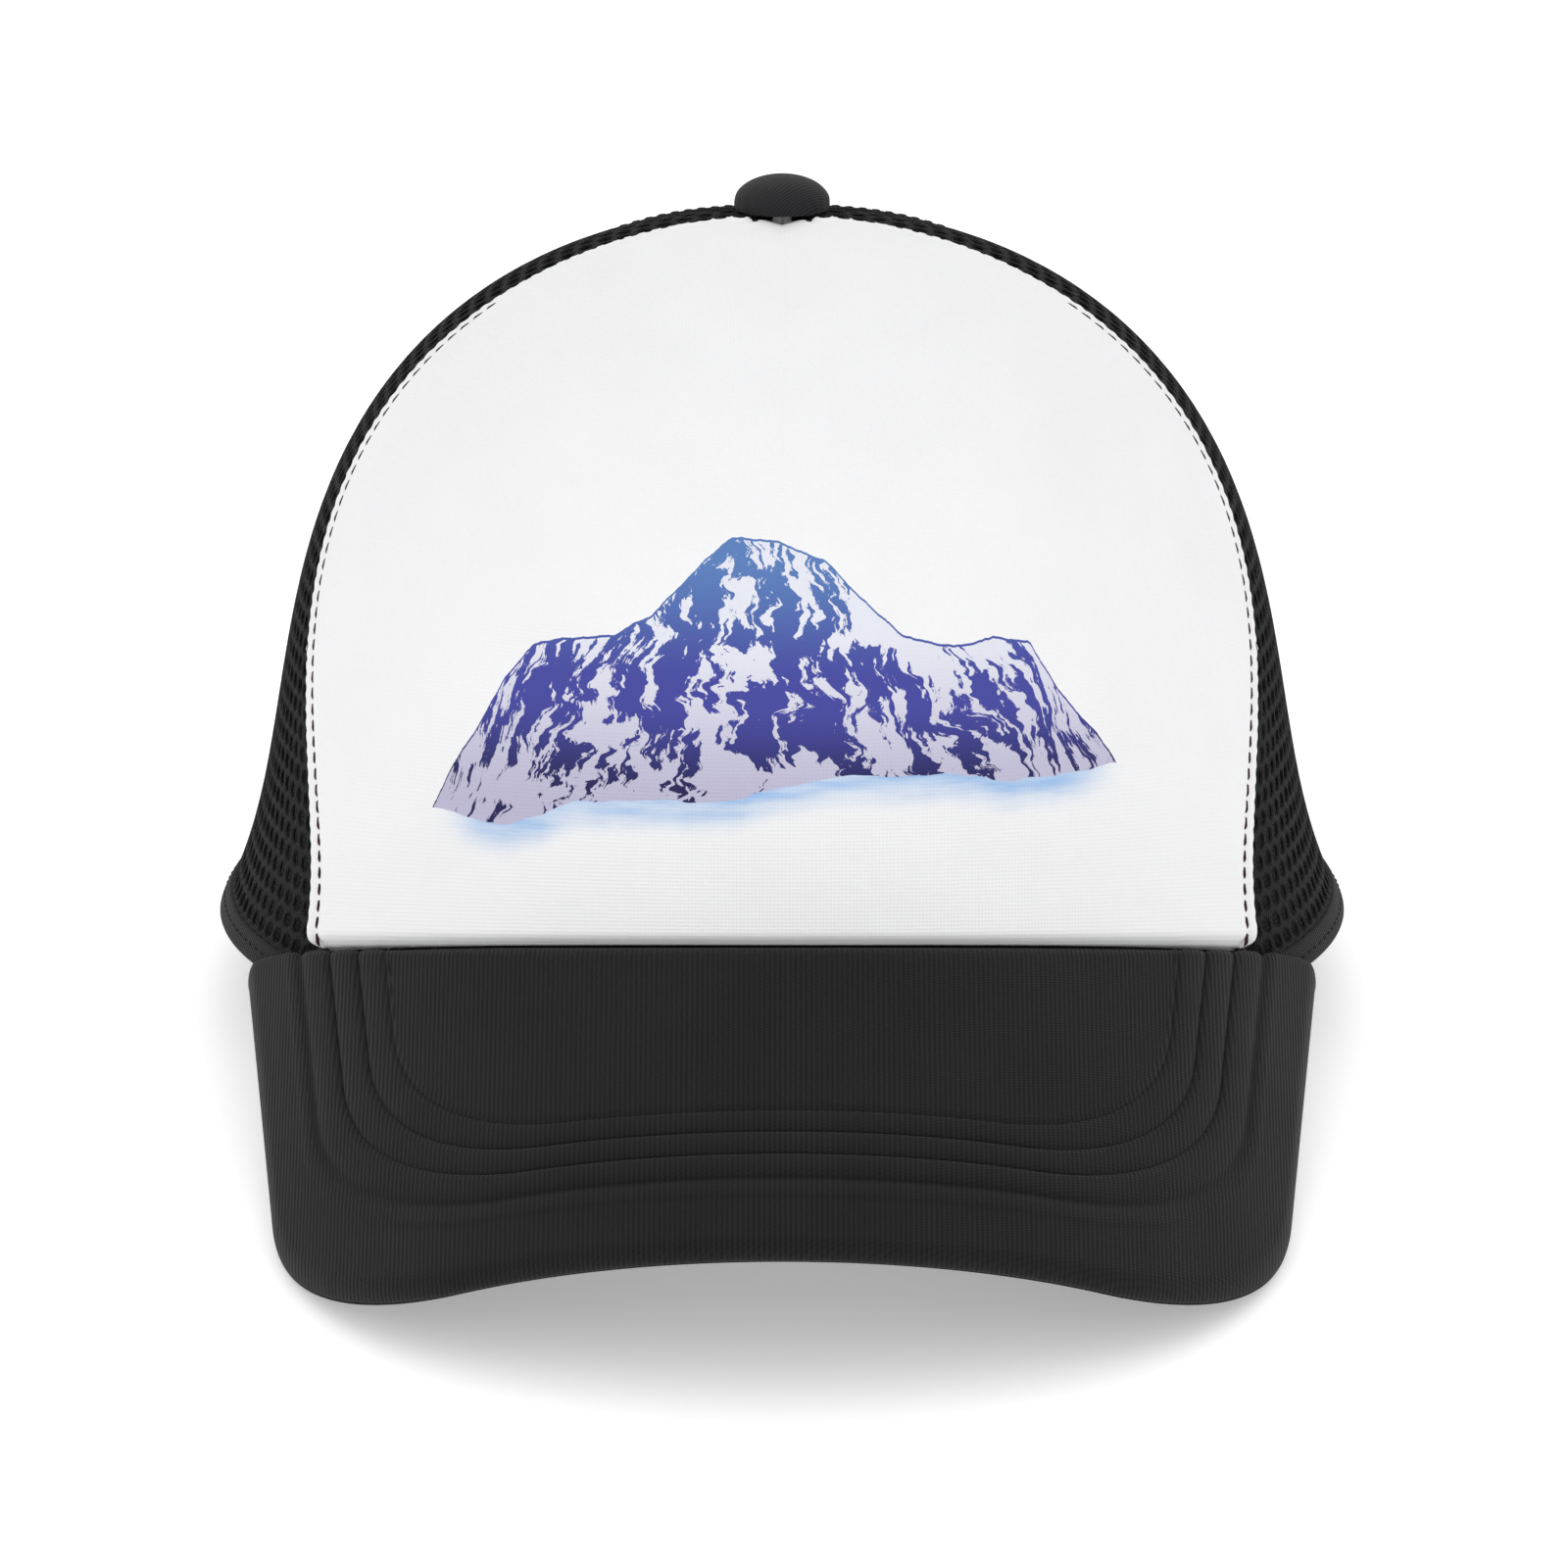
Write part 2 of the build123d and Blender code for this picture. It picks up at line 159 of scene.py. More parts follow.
def side_seam_turn(height):
    """How far round the crown the seam between side and back gores is at a height."""
    side, _, back = crown_axes(height)
    return np.pi - np.arctan(math.tan(BACK_GORE) * back / side)


def closest_top(limit):
    """The height at which the crown's front has closed in to a length."""
    heights = np.linspace(0.9, 1, 4000) * CROWN_HEIGHT
    return float(heights[np.argmin(np.abs(crown_axes(heights)[1] - limit))])


PANEL_TOP = closest_top(-SEAM_LENGTHS[-1] + 0.4 * MM)
print("the front panel ends at", round(PANEL_TOP / MM, 2), "mm")

# %% [markdown]
# ## From points to cloth
# A sheet is easiest to keep even when it is a grid of points: rows run one way and columns the
# other, and each small square becomes a face. The grid carries a UV map in metres, so that a
# weave keeps its true size wherever the sheet goes. Solidify then gives the cloth its thickness.


# %% Grids and objects
def deselect():
    """Leaves object mode with nothing selected."""
    if bpy.context.object and bpy.context.object.mode != "OBJECT":
        bpy.ops.object.mode_set(mode="OBJECT")
    bpy.ops.object.select_all(action="DESELECT")


def choose(piece):
    """Selects one piece and makes it the active one."""
    deselect()
    piece.select_set(True)
    bpy.context.view_layer.objects.active = piece


def new_mesh(name, points, faces, uv=None):
    """A mesh object from points and faces, with a UV of each point in metres."""
    mesh = bpy.data.meshes.new(name)
    faces = faces if isinstance(faces, list) else faces.tolist()
    mesh.from_pydata(np.asarray(points).reshape(-1, 3).tolist(), [], faces)
    if uv is not None:
        layer = mesh.uv_layers.new(name="cloth")
        corners = np.zeros(len(mesh.loops), np.int32)
        mesh.loops.foreach_get("vertex_index", corners)
        layer.data.foreach_set("uv", np.asarray(uv, np.float32).reshape(-1, 2)[corners].ravel())
    mesh.update()
    piece = bpy.data.objects.new(name, mesh)
    bpy.context.scene.collection.objects.link(piece)
    mesh.shade_smooth()
    return piece


def grid_faces(rows, columns, around=False):
    """Faces of a grid, optionally joined round from the last column to the first."""
    last = columns if around else columns - 1
    row, column = np.meshgrid(np.arange(rows - 1), np.arange(last), indexing="ij")
    beside = (column + 1) % columns
    corners = [row * columns + column, row * columns + beside,
               (row + 1) * columns + beside, (row + 1) * columns + column]
    return np.stack(corners, axis=-1).reshape(-1, 4)


def apply_modifier(piece, kind, **values):
    """Adds a modifier, sets its values and applies it."""
    choose(piece)
    modifier = piece.modifiers.new(kind, kind)
    for key, value in values.items():
        setattr(modifier, key, value)
    bpy.ops.object.modifier_apply(modifier=modifier.name)


def weld(piece, distance=0.01 * MM):
    """Merges points that lie in one place, and drops faces left without an area."""
    work = bmesh.new()
    work.from_mesh(piece.data)
    bmesh.ops.remove_doubles(work, verts=work.verts, dist=distance)
    bmesh.ops.dissolve_degenerate(work, edges=work.edges, dist=distance / 10)
    work.to_mesh(piece.data)
    work.free()


def cloth_grid(name, points, uv, thickness):
    """A cloth piece: the grid is its outer face, and its thickness goes inwards."""
    rows, columns = points.shape[:2]
    piece = new_mesh(name, stand(points), grid_faces(rows, columns), uv)
    weld(piece)
    apply_modifier(piece, "SOLIDIFY", thickness=thickness, offset=-1, use_even_offset=False)
    return piece


def belongs(piece, material, stands_for=(), body="cap"):
    """Gives a piece its finish, hides the CAD parts it stands for, and sets the body it moves with."""
    piece.data.materials.clear()
    piece.data.materials.append(material)
    if stands_for:
        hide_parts(*stands_for)
    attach(piece, body)
    return piece


# %% [markdown]
# ## Finishes: shared patterns
# Cloth is never one flat colour. Threads cross, fibres stand up, and the dye takes unevenly.
# The patterns below are node groups, so that each finish can use them at its own scale. They
# read the UV map, which is in metres, and give out only heights and masks.


# %% Node helpers
def group_of(name, inputs, outputs):
    """An empty shader node group with named inputs and outputs."""
    tree = bpy.data.node_groups.new(name, "ShaderNodeTree")
    for label, kind, value in inputs:
        socket = tree.interface.new_socket(label, in_out="INPUT", socket_type="NodeSocket" + kind)
        if value is not None:
            socket.default_value = value
    for label, kind in outputs:
        tree.interface.new_socket(label, in_out="OUTPUT", socket_type="NodeSocket" + kind)
    return tree, tree.nodes.new("NodeGroupInput"), tree.nodes.new("NodeGroupOutput")


def put(tree, socket, value):
    """Links a socket to another, or sets its plain value."""
    if isinstance(value, bpy.types.NodeSocket):
        tree.links.new(value, socket)
    else:
        socket.default_value = value


def maths(tree, operation, *values, clamp=False):
    """The result of a Math node."""
    node = tree.nodes.new("ShaderNodeMath")
    node.operation, node.use_clamp = operation, clamp
    for socket, value in zip(node.inputs, values):
        put(tree, socket, value)
    return node.outputs[0]


def noise(tree, vector, scale, detail=3.0, roughness=0.5, distortion=0.0, colour=False):
    """A noise pattern over a vector."""
    node = tree.nodes.new("ShaderNodeTexNoise")
    put(tree, node.inputs["Vector"], vector)
    put(tree, node.inputs["Scale"], scale)
    node.inputs["Detail"].default_value = detail
    node.inputs["Roughness"].default_value = roughness
    node.inputs["Distortion"].default_value = distortion
    return node.outputs["Color" if colour else 0]


def split(tree, vector):
    """The three parts of a vector."""
    node = tree.nodes.new("ShaderNodeSeparateXYZ")
    put(tree, node.inputs[0], vector)
    return node.outputs


def combine(tree, x, y, z=0.0):
    """A vector from its parts."""
    node = tree.nodes.new("ShaderNodeCombineXYZ")
    for socket, value in zip(node.inputs, (x, y, z)):
        put(tree, socket, value)
    return node.outputs[0]


def mix(tree, share, first, second):
    """One colour laid over another by a mask."""
    node = tree.nodes.new("ShaderNodeMix")
    node.data_type = "RGBA"
    put(tree, node.inputs[0], share)
    put(tree, node.inputs[6], first if isinstance(first, bpy.types.NodeSocket) else (*first, 1))
    put(tree, node.inputs[7], second if isinstance(second, bpy.types.NodeSocket) else (*second, 1))
    return node.outputs[2]


def between(tree, value, low, high, start=0.0, end=1.0):
    """A value spread from one range to another, smoothly and within its ends."""
    node = tree.nodes.new("ShaderNodeMapRange")
    node.interpolation_type = "SMOOTHSTEP"
    for socket, number in zip(node.inputs, (value, low, high, start, end)):
        put(tree, socket, number)
    return node.outputs[0]


def pattern(tree, group, vector, **values):
    """Places a shared pattern in a tree and gives back its outputs."""
    node = tree.nodes.new("ShaderNodeGroup")
    node.node_tree = group
    put(tree, node.inputs["Vector"], vector)
    for label, value in values.items():
        put(tree, node.inputs[label.replace("_", " ")], value)
    return node.outputs


# %% [markdown]
# ## The weaves
# The brim and the trims are ribbed weaves, and the panel and sweatband are fine knits. Two sine
# waves cross for the threads, and noise makes the rows wander and adds fibres. An image of cloth
# would repeat, and it would blur close up.

# %% Woven and knitted patterns
def ribs_group():
    """Raised ribs with small cross threads; across and along are the threads' pitches."""
    inputs = [("Vector", "Vector", None), ("Across", "Float", 0.8 * MM), ("Along", "Float", 0.5 * MM)]
    tree, start, end = group_of("ribbed_weave", inputs, [("Height", "Float"), ("Wear", "Float")])
    x, y, _ = split(tree, start.outputs["Vector"])
    wander = noise(tree, start.outputs["Vector"], 90.0, 2.0)
    sway = maths(tree, "MULTIPLY", wander, 1.2)
    turns_x = maths(tree, "DIVIDE", x, start.outputs["Across"])
    turns_y = maths(tree, "DIVIDE", y, start.outputs["Along"])
    phase_x = maths(tree, "MULTIPLY_ADD", turns_x, 2 * math.pi, sway)
    phase_y = maths(tree, "MULTIPLY", turns_y, 2 * math.pi)
    leaning = maths(tree, "ADD", phase_y, maths(tree, "MULTIPLY", phase_x, 0.5))
    rib = maths(tree, "MULTIPLY_ADD", maths(tree, "SINE", phase_x), 0.5, 0.5)
    thread = maths(tree, "MULTIPLY_ADD", maths(tree, "SINE", leaning), 0.5, 0.5)
    fibre = noise(tree, start.outputs["Vector"], 4200.0, 2.0, 0.7)
    height = maths(tree, "MULTIPLY_ADD", thread, 0.35, rib)
    height = maths(tree, "MULTIPLY_ADD", fibre, 0.5, height)
    tree.links.new(height, end.inputs["Height"])
    tree.links.new(noise(tree, start.outputs["Vector"], 35.0, 4.0, 0.6), end.inputs["Wear"])
    return tree


def knit_group():
    """Rows of fine loops, for knitted and brushed cloth."""
    inputs = [("Vector", "Vector", None), ("Pitch", "Float", 0.55 * MM)]
    tree, start, end = group_of("fine_knit", inputs, [("Height", "Float"), ("Wear", "Float")])
    x, y, _ = split(tree, start.outputs["Vector"])
    sway = maths(tree, "MULTIPLY", noise(tree, start.outputs["Vector"], 260.0, 2.0), 2.5)
    row = maths(tree, "MULTIPLY", maths(tree, "DIVIDE", y, start.outputs["Pitch"]), 2 * math.pi)
    row = maths(tree, "SINE", maths(tree, "ADD", row, sway))
    loop = maths(tree, "MULTIPLY", maths(tree, "DIVIDE", x, start.outputs["Pitch"]), 2 * math.pi)
    loop = maths(tree, "SINE", maths(tree, "ADD", loop, maths(tree, "MULTIPLY", row, 0.8)))
    fibre = noise(tree, start.outputs["Vector"], 3000.0, 3.0, 0.7)
    height = maths(tree, "MULTIPLY_ADD", row, 0.5, maths(tree, "MULTIPLY", loop, 0.25))
    tree.links.new(maths(tree, "MULTIPLY_ADD", fibre, 0.8, height), end.inputs["Height"])
    tree.links.new(noise(tree, start.outputs["Vector"], 45.0, 3.0, 0.55), end.inputs["Wear"])
    return tree


ribbed_weave = ribs_group()
fine_knit = knit_group()


# %% [markdown]
# ## Finishes: the cloths
# Each cloth sets its own plain numbers on the shader, such as its sheen, and takes its colour,
# roughness and relief from the patterns. Black cloth is a dark grey, painted paler on the raised
# threads and darker in the gaps between them as painted highlight and shade. Plain values are
# typed on the shader itself, because an export keeps only those.


# %% Cloth finishes
def new_finish(name, **sockets):
    """A material, its tree and its shader with plain values set."""
    material = bpy.data.materials.new(name)
    material.use_nodes = True
    tree = material.node_tree
    shader = tree.nodes["Principled BSDF"]
    for label, value in sockets.items():
        shader.inputs[label.replace("_", " ")].default_value = value
    return material, tree, shader


def cloth_uv(tree):
    """The cloth's own UV map, in metres."""
    return tree.nodes.new("ShaderNodeUVMap").outputs[0]


def raise_by(tree, shader, height, distance, strength=1.0):
    """Relief from a height pattern."""
    bump = tree.nodes.new("ShaderNodeBump")
    bump.inputs["Strength"].default_value = strength
    bump.inputs["Distance"].default_value = distance
    put(tree, bump.inputs["Height"], height)
    put(tree, shader.inputs["Normal"], bump.outputs[0])


def woven_finish(name, dark, pale, group, relief, sheen=0.15, rough=(0.75, 0.95), **pitches):
    """A cloth painted paler on its raised threads and darker in the gaps between them, as painted highlight
    and shade.
    """
    material, tree, shader = new_finish(
        name, Sheen_Weight=sheen, Sheen_Roughness=0.5, Specular_IOR_Level=0.12)
    found = pattern(tree, group, cloth_uv(tree), **pitches)
    # Colour by thread height: painted highlight on the raised threads and painted shade in the gaps, mixed
    # with a random tone.
    lit = between(tree, found["Height"], 0.2, 1.5)
    wear_and_painted_shade = maths(tree, "MULTIPLY_ADD", found["Wear"], 0.5, maths(tree, "MULTIPLY", lit, 0.6))
    put(tree, shader.inputs["Base Color"], mix(tree, wear_and_painted_shade, dark, pale))
    put(tree, shader.inputs["Roughness"], between(tree, wear_and_painted_shade, 0, 1, rough[1], rough[0]))
    raise_by(tree, shader, found["Height"], relief)
    return material


brim_cloth = woven_finish("brim_cloth", (0.0045, 0.0045, 0.005), (0.014, 0.014, 0.015),
                          ribbed_weave, 0.10 * MM, sheen=0.06, Across=0.82 * MM, Along=0.55 * MM)
net_yarn = woven_finish("net_yarn", (0.0020, 0.0020, 0.0022), (0.008, 0.008, 0.009),
                        ribbed_weave, 0.22 * MM, sheen=0.04, Across=0.5 * MM, Along=1.3 * MM)
trim_cloth = woven_finish("trim_cloth", (0.0035, 0.0035, 0.004), (0.012, 0.012, 0.013),
                          ribbed_weave, 0.08 * MM, sheen=0.06, Across=0.9 * MM, Along=0.6 * MM)
band_cloth = woven_finish("band_cloth", (0.007, 0.007, 0.008), (0.022, 0.022, 0.024),
                          fine_knit, 0.10 * MM, sheen=0.15, Pitch=0.7 * MM)
button_twill = woven_finish("button_twill", (0.007, 0.007, 0.008), (0.026, 0.026, 0.028),
                            ribbed_weave, 0.07 * MM, sheen=0.08, Across=0.62 * MM, Along=0.62 * MM)
black_thread = woven_finish("black_thread", (0.0010, 0.0010, 0.0012), (0.004, 0.004, 0.0045),
                            ribbed_weave, 0.05 * MM, sheen=0.02, Across=0.3 * MM, Along=0.3 * MM)
plum_thread = woven_finish("plum_thread", (0.016, 0.003, 0.006), (0.045, 0.010, 0.016),
                           ribbed_weave, 0.05 * MM, Across=0.3 * MM, Along=0.3 * MM)

# %% [markdown]
# ## Finish: the printed front panel
# The front cloth is a white knit with a mountain range printed across it. A picture file would
# be the usual way. Here the print is worked out from the UV map: a skyline curve with a jagged
# edge, rock faces that run down the slope between streaks of snow, and a pale blue mist below.
# It is a made-up range, and it stays sharp at any size.

# %% Where the print lies
PRINT_MIDDLE = (-0.5 * MM, 38.5 * MM)    # on the panel's UV: x from the middle, y up from the brim
PRINT_WIDTH = 128 * MM
PRINT_HEIGHT = 56 * MM


def skyline_group():
    """The print as masks: rock, snow field, mist, a thin outline, and how far up a point is."""
    outputs = [("Rock", "Float"), ("Snow", "Float"), ("Mist", "Float"), ("Rise", "Float")]
    tree, start, end = group_of("mountain_print", [("Vector", "Vector", None)], outputs)
    x, y, _ = split(tree, start.outputs["Vector"])
    across = maths(tree, "DIVIDE", maths(tree, "SUBTRACT", x, PRINT_MIDDLE[0]), PRINT_WIDTH)
    up = maths(tree, "DIVIDE", maths(tree, "SUBTRACT", y, PRINT_MIDDLE[1]), PRINT_HEIGHT)
    place = combine(tree, across, up)

    line = tree.nodes.new("ShaderNodeFloatCurve")
    put(tree, line.inputs["Value"], maths(tree, "ADD", across, 0.5))
    heights = [(0, 0.14), (0.045, 0.29), (0.085, 0.40), (0.13, 0.545), (0.175, 0.655), (0.20, 0.67),
               (0.29, 0.70), (0.34, 0.76), (0.39, 0.88), (0.44, 0.995), (0.50, 0.985), (0.56, 0.92),
               (0.61, 0.80), (0.655, 0.705), (0.72, 0.665), (0.78, 0.685), (0.83, 0.66),
               (0.875, 0.52), (0.94, 0.38), (0.965, 0.32), (1.0, 0.20)]
    curve = line.mapping.curves[0]
    curve.points[0].location, curve.points[1].location = heights[0], heights[-1]
    for point in heights[1:-1]:
        curve.points.new(*point)
    for point in curve.points:
        point.handle_type = "VECTOR"
    line.mapping.update()
    ragged = maths(tree, "SUBTRACT", noise(tree, combine(tree, across, 0.0), 26.0, 6.0, 0.6), 0.5)
    skyline = maths(tree, "MULTIPLY_ADD", ragged, 0.035, maths(tree, "SUBTRACT", line.outputs[0], 0.5))
    depth = maths(tree, "SUBTRACT", skyline, up)

    sway = maths(tree, "SINE", maths(tree, "MULTIPLY", across, 7.3))
    base = maths(tree, "MULTIPLY_ADD", sway, 0.018, -0.345)
    ripple = maths(tree, "SUBTRACT", noise(tree, combine(tree, across, 3.7), 5.0, 3.0), 0.5)
    base = maths(tree, "MULTIPLY_ADD", ripple, 0.05, base)
    base = maths(tree, "ADD", base, between(tree, across, -0.40, 0.10, 0.0, 0.10))
    ends = between(tree, maths(tree, "ABSOLUTE", across), 0.497, 0.5, 1.0, 0.0)
    inside = maths(tree, "MULTIPLY", maths(tree, "GREATER_THAN", depth, 0.0), ends)
    body = maths(tree, "MULTIPLY", inside, maths(tree, "GREATER_THAN", up, base))

    slant = maths(tree, "MULTIPLY", maths(tree, "SUBTRACT", across, -0.045), 1.15)
    fan = maths(tree, "DIVIDE", slant, maths(tree, "MULTIPLY_ADD", depth, 0.9, 0.62))
    bend = noise(tree, place, 7.0, 3.0, 0.55, colour=True)
    bend_x, bend_y, _ = split(tree, bend)
    streak_x = maths(tree, "MULTIPLY_ADD", maths(tree, "SUBTRACT", bend_x, 0.5), 0.16, fan)
    streak_y = maths(tree, "MULTIPLY_ADD", maths(tree, "SUBTRACT", bend_y, 0.5), 0.20, up)
    large = noise(tree, combine(tree, streak_x, maths(tree, "MULTIPLY", streak_y, 0.32), 1.3), 19.0, 2.0, 0.5)
    narrow = combine(tree, streak_x, maths(tree, "MULTIPLY", streak_y, 0.20), 5.1)
    teeth = noise(tree, narrow, 60.0, 5.0, 0.62)
    crumbs = noise(tree, combine(tree, across, maths(tree, "MULTIPLY", up, 0.55), 9.2), 60.0, 4.0, 0.6)
    field = maths(tree, "MULTIPLY_ADD", maths(tree, "SUBTRACT", teeth, 0.5), 0.85, large)
    field = maths(tree, "MULTIPLY_ADD", maths(tree, "SUBTRACT", crumbs, 0.5), 0.30, field)
    eastward = maths(tree, "SUBTRACT", across, maths(tree, "MULTIPLY", up, 0.25))
    sunny = between(tree, eastward, -0.05, 0.02, 0.0, 0.10)
    peak = between(tree, depth, 0.0, 0.15, 1.0, 0.0)
    limit = maths(tree, "MULTIPLY_ADD", maths(tree, "MULTIPLY", sunny, peak), 1.3, 0.455)
    low = between(tree, up, -0.33, -0.02, 0.20, 0.0)
    limit = maths(tree, "ADD", limit, low)
    rock = maths(tree, "GREATER_THAN", field, limit)
    edge = maths(tree, "LESS_THAN", depth, 0.007)
    rock = maths(tree, "MULTIPLY", maths(tree, "MAXIMUM", rock, edge), body)

    mist_top = maths(tree, "MULTIPLY_ADD", ripple, 0.10, maths(tree, "ADD", base, 0.01))
    hills = maths(tree, "ABSOLUTE", maths(tree, "SINE", maths(tree, "MULTIPLY_ADD", across, 9.0, 0.4)))
    mist_top = maths(tree, "MULTIPLY_ADD", hills, 0.03, mist_top)
    under = maths(tree, "LESS_THAN", up, mist_top)
    mist_ends = between(tree, maths(tree, "ABSOLUTE", across), 0.37, 0.49, 1.0, 0.0)
    fade = between(tree, maths(tree, "SUBTRACT", mist_top, up), 0.0, 0.11, 1.0, 0.0)
    drift = noise(tree, combine(tree, across, maths(tree, "MULTIPLY", up, 3.0)), 9.0, 4.0)
    swirl = maths(tree, "MULTIPLY", between(tree, drift, 0.3, 0.7, 0.55, 1.0), mist_ends)
    mist = maths(tree, "MULTIPLY", maths(tree, "MULTIPLY", under, fade), swirl)
    above = maths(tree, "SUBTRACT", 1.0, under)
    rock, snow = maths(tree, "MULTIPLY", rock, above), maths(tree, "MULTIPLY", body, above)
    for label, value in (("Rock", rock), ("Snow", snow), ("Mist", mist), ("Rise", up)):
        tree.links.new(value, end.inputs[label])
    return tree


mountain_print = skyline_group()

# %% [markdown]
# ## Ink on the cloth
# The masks choose between three inks. Rock goes from navy low down through indigo to blue at the
# peak, snow is a pale lavender, and mist is pale blue. The cloth's own white is a little uneven.

# %% The printed cloth
panel_cloth, tree, shader = new_finish(
    "panel_cloth", Sheen_Weight=0.1, Sheen_Roughness=0.4, Specular_IOR_Level=0.2, Roughness=0.85)
print_masks = pattern(tree, mountain_print, cloth_uv(tree))
knit = pattern(tree, fine_knit, cloth_uv(tree), Pitch=0.6 * MM)
white_cloth = mix(tree, knit["Wear"], (0.80, 0.80, 0.81), (0.86, 0.86, 0.87))
snow_ink = mix(tree, between(tree, print_masks["Rise"], -0.30, 0.25), (0.47, 0.45, 0.60), (0.72, 0.73, 0.81))
low_rise = between(tree, print_masks["Rise"], -0.26, 0.02)
rock_low = mix(tree, low_rise, (0.020, 0.018, 0.085), (0.060, 0.064, 0.32))
rock_ink = mix(tree, between(tree, print_masks["Rise"], 0.05, 0.46), rock_low, (0.10, 0.20, 0.46))
mist_ink = (0.30, 0.48, 0.76)
inked = mix(tree, print_masks["Snow"], white_cloth, snow_ink)
inked = mix(tree, print_masks["Rock"], inked, rock_ink)
inked = mix(tree, print_masks["Mist"], inked, mist_ink)
put(tree, shader.inputs["Base Color"], inked)
raise_by(tree, shader, knit["Height"], 0.05 * MM, 0.7)

# %% [markdown]
# ## Finishes: plastic, metal and foam
# The straps are moulded plastic with a fine satin grain, the button's shell and rivet are
# pressed aluminium, and the foam behind the panel is full of tiny open cells. These have no
# UV map, so their patterns read Object coordinates.


# %% Hard finishes and foam
def object_place(tree):
    """The piece's own coordinates, in metres."""
    return tree.nodes.new("ShaderNodeTexCoord").outputs["Object"]


def grained_finish(name, dark, pale, scale, relief, rough, **sockets):
    """A finish with an even fine grain."""
    material, tree, shader = new_finish(name, **sockets)
    place = object_place(tree)
    grain = noise(tree, place, scale, 4.0, 0.6)
    cloudy = noise(tree, place, 40.0, 3.0)
    put(tree, shader.inputs["Base Color"], mix(tree, cloudy, dark, pale))
    put(tree, shader.inputs["Roughness"], between(tree, grain, 0.2, 0.8, *rough))
    raise_by(tree, shader, grain, relief)
    return material


strap_plastic = grained_finish("strap_plastic", (0.010, 0.010, 0.011), (0.020, 0.020, 0.022),
                               2600.0, 0.03 * MM, (0.35, 0.55), Specular_IOR_Level=0.45)
button_metal = grained_finish("button_metal", (0.55, 0.55, 0.57), (0.70, 0.70, 0.72),
                              1500.0, 0.01 * MM, (0.25, 0.45), Metallic=1.0)
panel_foam = grained_finish("panel_foam", (0.62, 0.62, 0.60), (0.74, 0.74, 0.72),
                            1400.0, 0.25 * MM, (0.85, 1.0), Specular_IOR_Level=0.1)
board_plastic = grained_finish("board_plastic", (0.55, 0.55, 0.53), (0.65, 0.65, 0.62),
                               900.0, 0.03 * MM, (0.4, 0.6))

# %% [markdown]
# ## The rim and the brim's seam
# The crown's rim is level at the sides and back, and in front it rises over the brim. The brim
# itself is a flat board bent round a cylinder that slopes down to the front.

# %% Brim surface
BRIM_SLOPE = math.radians(32.5)
BRIM_RADIUS = 103 * MM
BRIM_SEAM_HEIGHT = 20 * MM
BRIM_THICKNESS = 3.6 * MM
RIM_RISE_START = 0.56 * CROWN_FRONT
RIM_RISE = BRIM_SEAM_HEIGHT - BRIM_THICKNESS / math.cos(BRIM_SLOPE)


def rim_height(points):
    """How high the rim is below given points of the crown."""
    forward = np.clip((-points[..., 1] - RIM_RISE_START) / (CROWN_FRONT - RIM_RISE_START), 0, 1)
    return RIM_RISE * (0.68 * forward + 0.32 * forward**2)


def brim_point(x, ahead, sink=0.0):
    """A point of the brim: x to the side, ahead of the seam, sunk below its top surface."""
    radius = BRIM_RADIUS - np.asarray(sink, float)
    drop = BRIM_RADIUS - np.sqrt(np.maximum(radius**2 - np.square(x), 0))
    y = -CROWN_FRONT - ahead * math.cos(BRIM_SLOPE) + drop * math.sin(BRIM_SLOPE)
    z = BRIM_SEAM_HEIGHT - ahead * math.sin(BRIM_SLOPE) - drop * math.cos(BRIM_SLOPE)
    return np.stack(np.broadcast_arrays(x, y, z), axis=-1)


def brim_out(x):
    """The direction straight out of the brim's top surface, at each x."""
    lean, level = x / BRIM_RADIUS, np.sqrt(1 - (x / BRIM_RADIUS) ** 2)
    return np.stack([lean, -level * math.sin(BRIM_SLOPE), level * math.cos(BRIM_SLOPE)], axis=-1)


def brim_meets_crown(x):
    """How far ahead of the seam's middle the brim's top meets the crown, at each x."""
    low, high = np.full_like(x, -80 * MM), np.full_like(x, 10 * MM)
    for _ in range(40):
        middle = (low + high) / 2
        point = brim_point(x, middle)
        side, front, _ = crown_axes(np.maximum(point[..., 2], 0))
        wall = -front * np.sqrt(np.maximum(1 - (x / side) ** 2, 0))
        outside = point[..., 1] < wall
        high, low = np.where(outside, middle, high), np.where(outside, low, middle)
    return (low + high) / 2


brim_seam_x = np.linspace(-88, 88, 353) * MM
brim_seam_height = brim_point(brim_seam_x, brim_meets_crown(brim_seam_x))[..., 2]


def panel_bottom(x):
    """The height at which the front panel meets the brim, at each x."""
    return np.interp(x, brim_seam_x, brim_seam_height)


# %% [markdown]
# ## The front panel
# The front is a white knit laminated to 3 mm of foam, cut in one piece with a dart at the top.
# It is sewn over the side gores: its edge turns under in small scallops, and a dark thread runs
# round inside the edge. Modelling it as a flat patch would lose all that, so it is a fine grid
# whose points are moved in and out by their distance to the seam, the dart and the brim.

# %% Panel grid
seam_samples = np.linspace(1 * MM, PANEL_TOP, 6000)
seam_track = crown_skin(front_seam_turn(seam_samples), seam_samples)
seam_run = run_along(seam_track)
PANEL_ROWS = 430
PANEL_CORNER = 3.3 * MM
row_height = np.interp(np.linspace(0, seam_run[-1], PANEL_ROWS), seam_run, seam_samples)
edge_columns = np.array([0, 0.25, 0.5, 0.8, 1.2, 1.6, 2.0, 2.4, 2.8, 3.2, 3.6, 4.1, 4.8, 5.8, 7.2]) / 90
middle_columns = np.concatenate([np.linspace(0, 6, 9), np.linspace(8.2, 80, 34)]) / 90
half_columns = np.concatenate([middle_columns, 1 - edge_columns[::-1]])
panel_columns = np.concatenate([-half_columns[:0:-1], half_columns])


